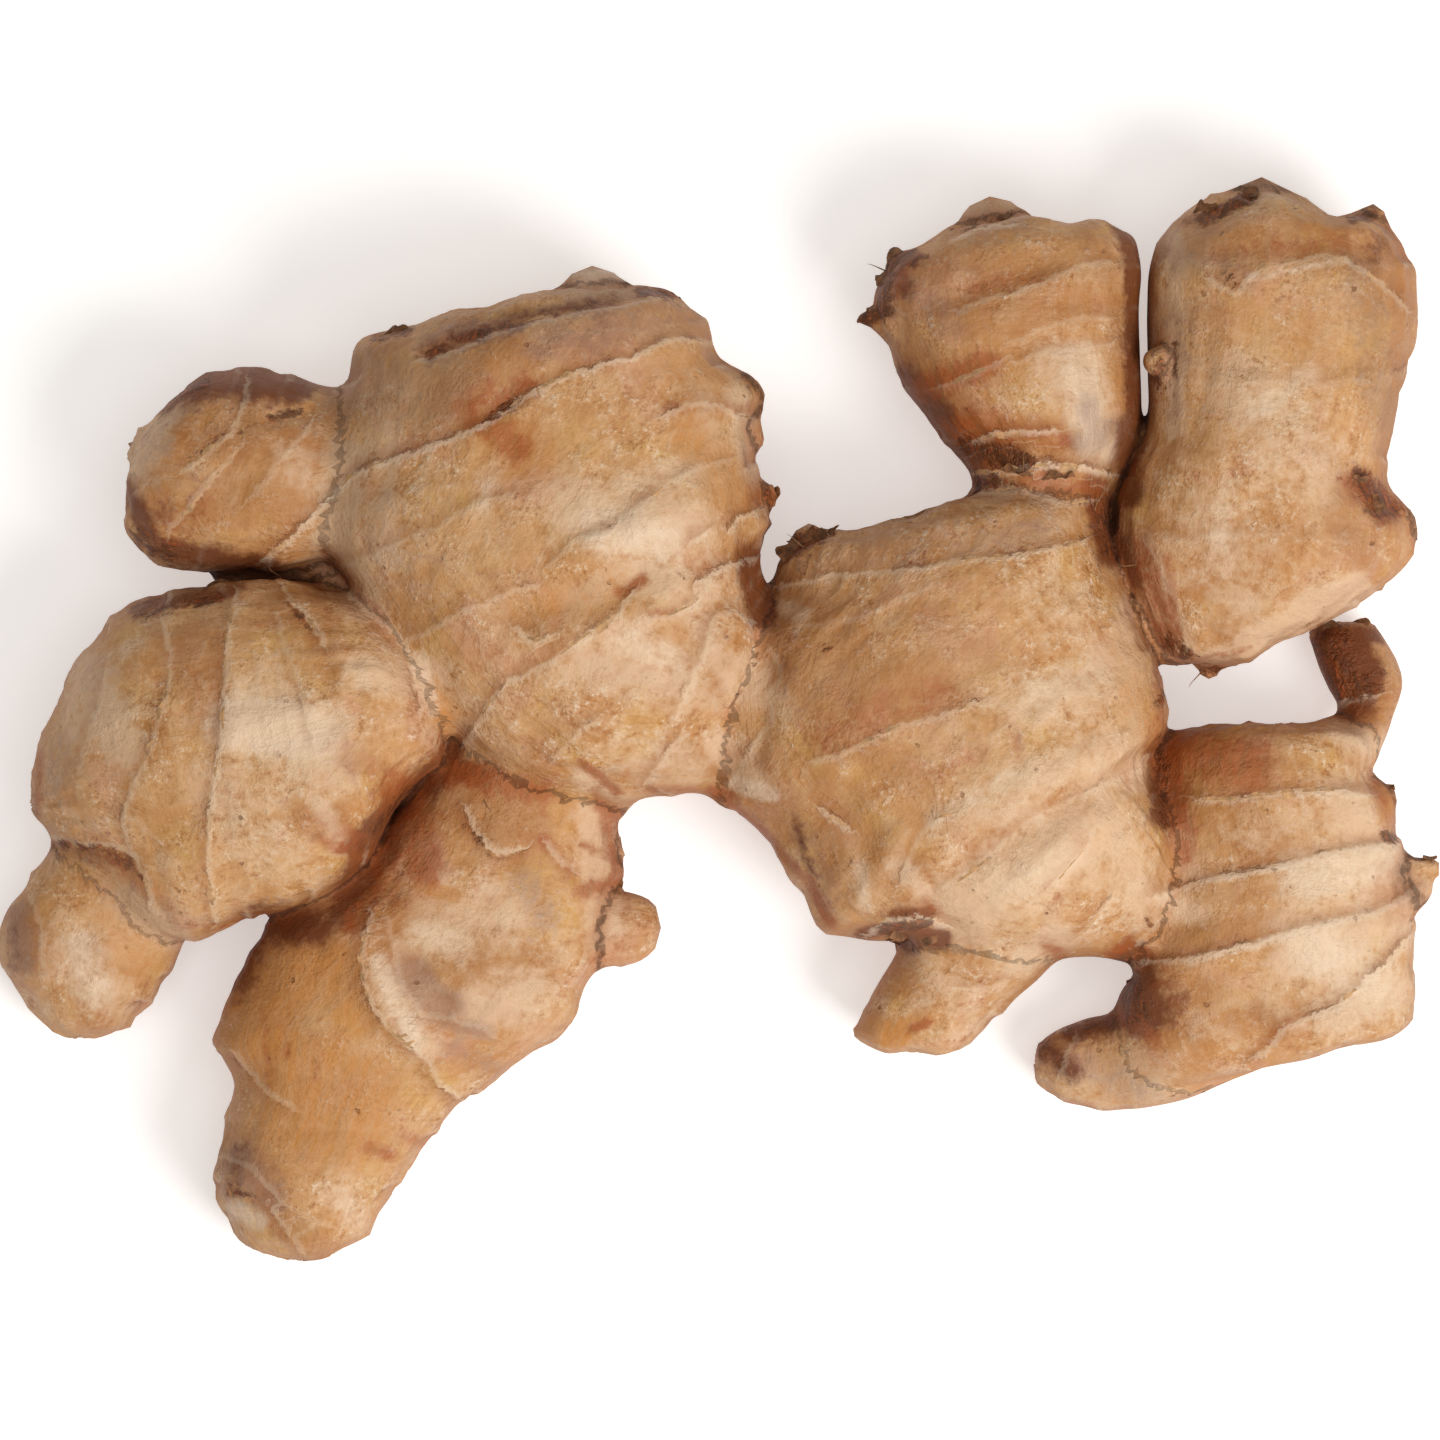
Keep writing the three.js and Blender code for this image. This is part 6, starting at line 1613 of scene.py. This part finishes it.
class GINGER_OT_rootlets(bpy.types.Operator):
    """Add the fine dry rootlets"""

    bl_idname = "ginger.rootlets"
    bl_label = "Rootlets"

    def execute(self, context):
        style = settings(context)
        material = fibre_material("dry_rootlet", style.rootlets, rough=0.7, size=0.8, amount=0.4)
        carry(new_piece("rootlets", make_rootlets(), material))
        return {"FINISHED"}


def lamp(name, place, size, watts, colour):
    """A square lamp that faces the middle of the ground."""
    data = bpy.data.lights.new(name, "AREA")
    data.shape, data.size, data.energy, data.color = "SQUARE", size, watts, colour
    o = bpy.data.objects.new(name, data)
    o.location = place
    o.rotation_euler = (-Vector(place)).to_track_quat("-Z", "Y").to_euler()
    bpy.context.scene.collection.objects.link(o)


class GINGER_OT_stage(bpy.types.Operator):
    """Add the pale floor, the soft lights and the camera that looks straight down"""

    bl_idname = "ginger.stage"
    bl_label = "Stage"

    def execute(self, context):
        scene, side = context.scene, FLOOR_HALF_SIDE
        corners = [(-side, -side, 0), (side, -side, 0), (side, side, 0), (-side, side, 0)]
        material = floor_material(settings(context))
        floor = new_piece("floor", mesh_of("floor", corners, [(0, 1, 2, 3)]), material)
        floor.location.z = -FLOOR_GAP
        for values in LAMPS:
            lamp(*values)
        scene.world = bpy.data.worlds.new("studio")
        scene.world.use_nodes = True
        sky = scene.world.node_tree.nodes["Background"].inputs
        sky["Color"].default_value = (*WORLD_COLOUR, 1)
        sky["Strength"].default_value = WORLD_STRENGTH
        scene.view_settings.view_transform = "Standard"
        lens = bpy.data.cameras.new("camera")
        lens.sensor_width, lens.lens, lens.clip_end = CAMERA_SENSOR, CAMERA_LENS, CAMERA_REACH
        camera = bpy.data.objects.new("camera", lens)
        camera.location = (0, 0, CAMERA_HEIGHT)
        scene.collection.objects.link(camera)
        scene.camera = camera
        return {"FINISHED"}


class GINGER_PT_panel(bpy.types.Panel):
    """The ginger rhizome's pieces and values"""

    bl_idname = "GINGER_PT_panel"
    bl_label = "Ginger rhizome"
    bl_space_type = "VIEW_3D"
    bl_region_type = "UI"
    bl_category = "Ginger"

    def draw(self, context):
        for operator in OPERATORS:
            self.layout.operator(operator.bl_idname)
        for group in (context.scene.ginger_shape, context.scene.ginger_look):
            box = self.layout.box()
            for name in names_in(group):
                box.prop(group, name)


OPERATORS = (GINGER_OT_stage, GINGER_OT_skin, GINGER_OT_shreds, GINGER_OT_scraps, GINGER_OT_rootlets)
CLASSES = (GingerShape, GingerLook, *OPERATORS, GINGER_PT_panel)


def register():
    for each in CLASSES:
        bpy.utils.register_class(each)
    bpy.types.Scene.ginger_shape = bpy.props.PointerProperty(type=GingerShape)
    bpy.types.Scene.ginger_look = bpy.props.PointerProperty(type=GingerLook)


def unregister():
    del bpy.types.Scene.ginger_look
    del bpy.types.Scene.ginger_shape
    for each in reversed(CLASSES):
        bpy.utils.unregister_class(each)


def main():
    register()
    ginger = bpy.ops.ginger
    for build in (ginger.stage, ginger.skin, ginger.shreds, ginger.scraps, ginger.rootlets):
        build()


if __name__ == "__main__":
    main()
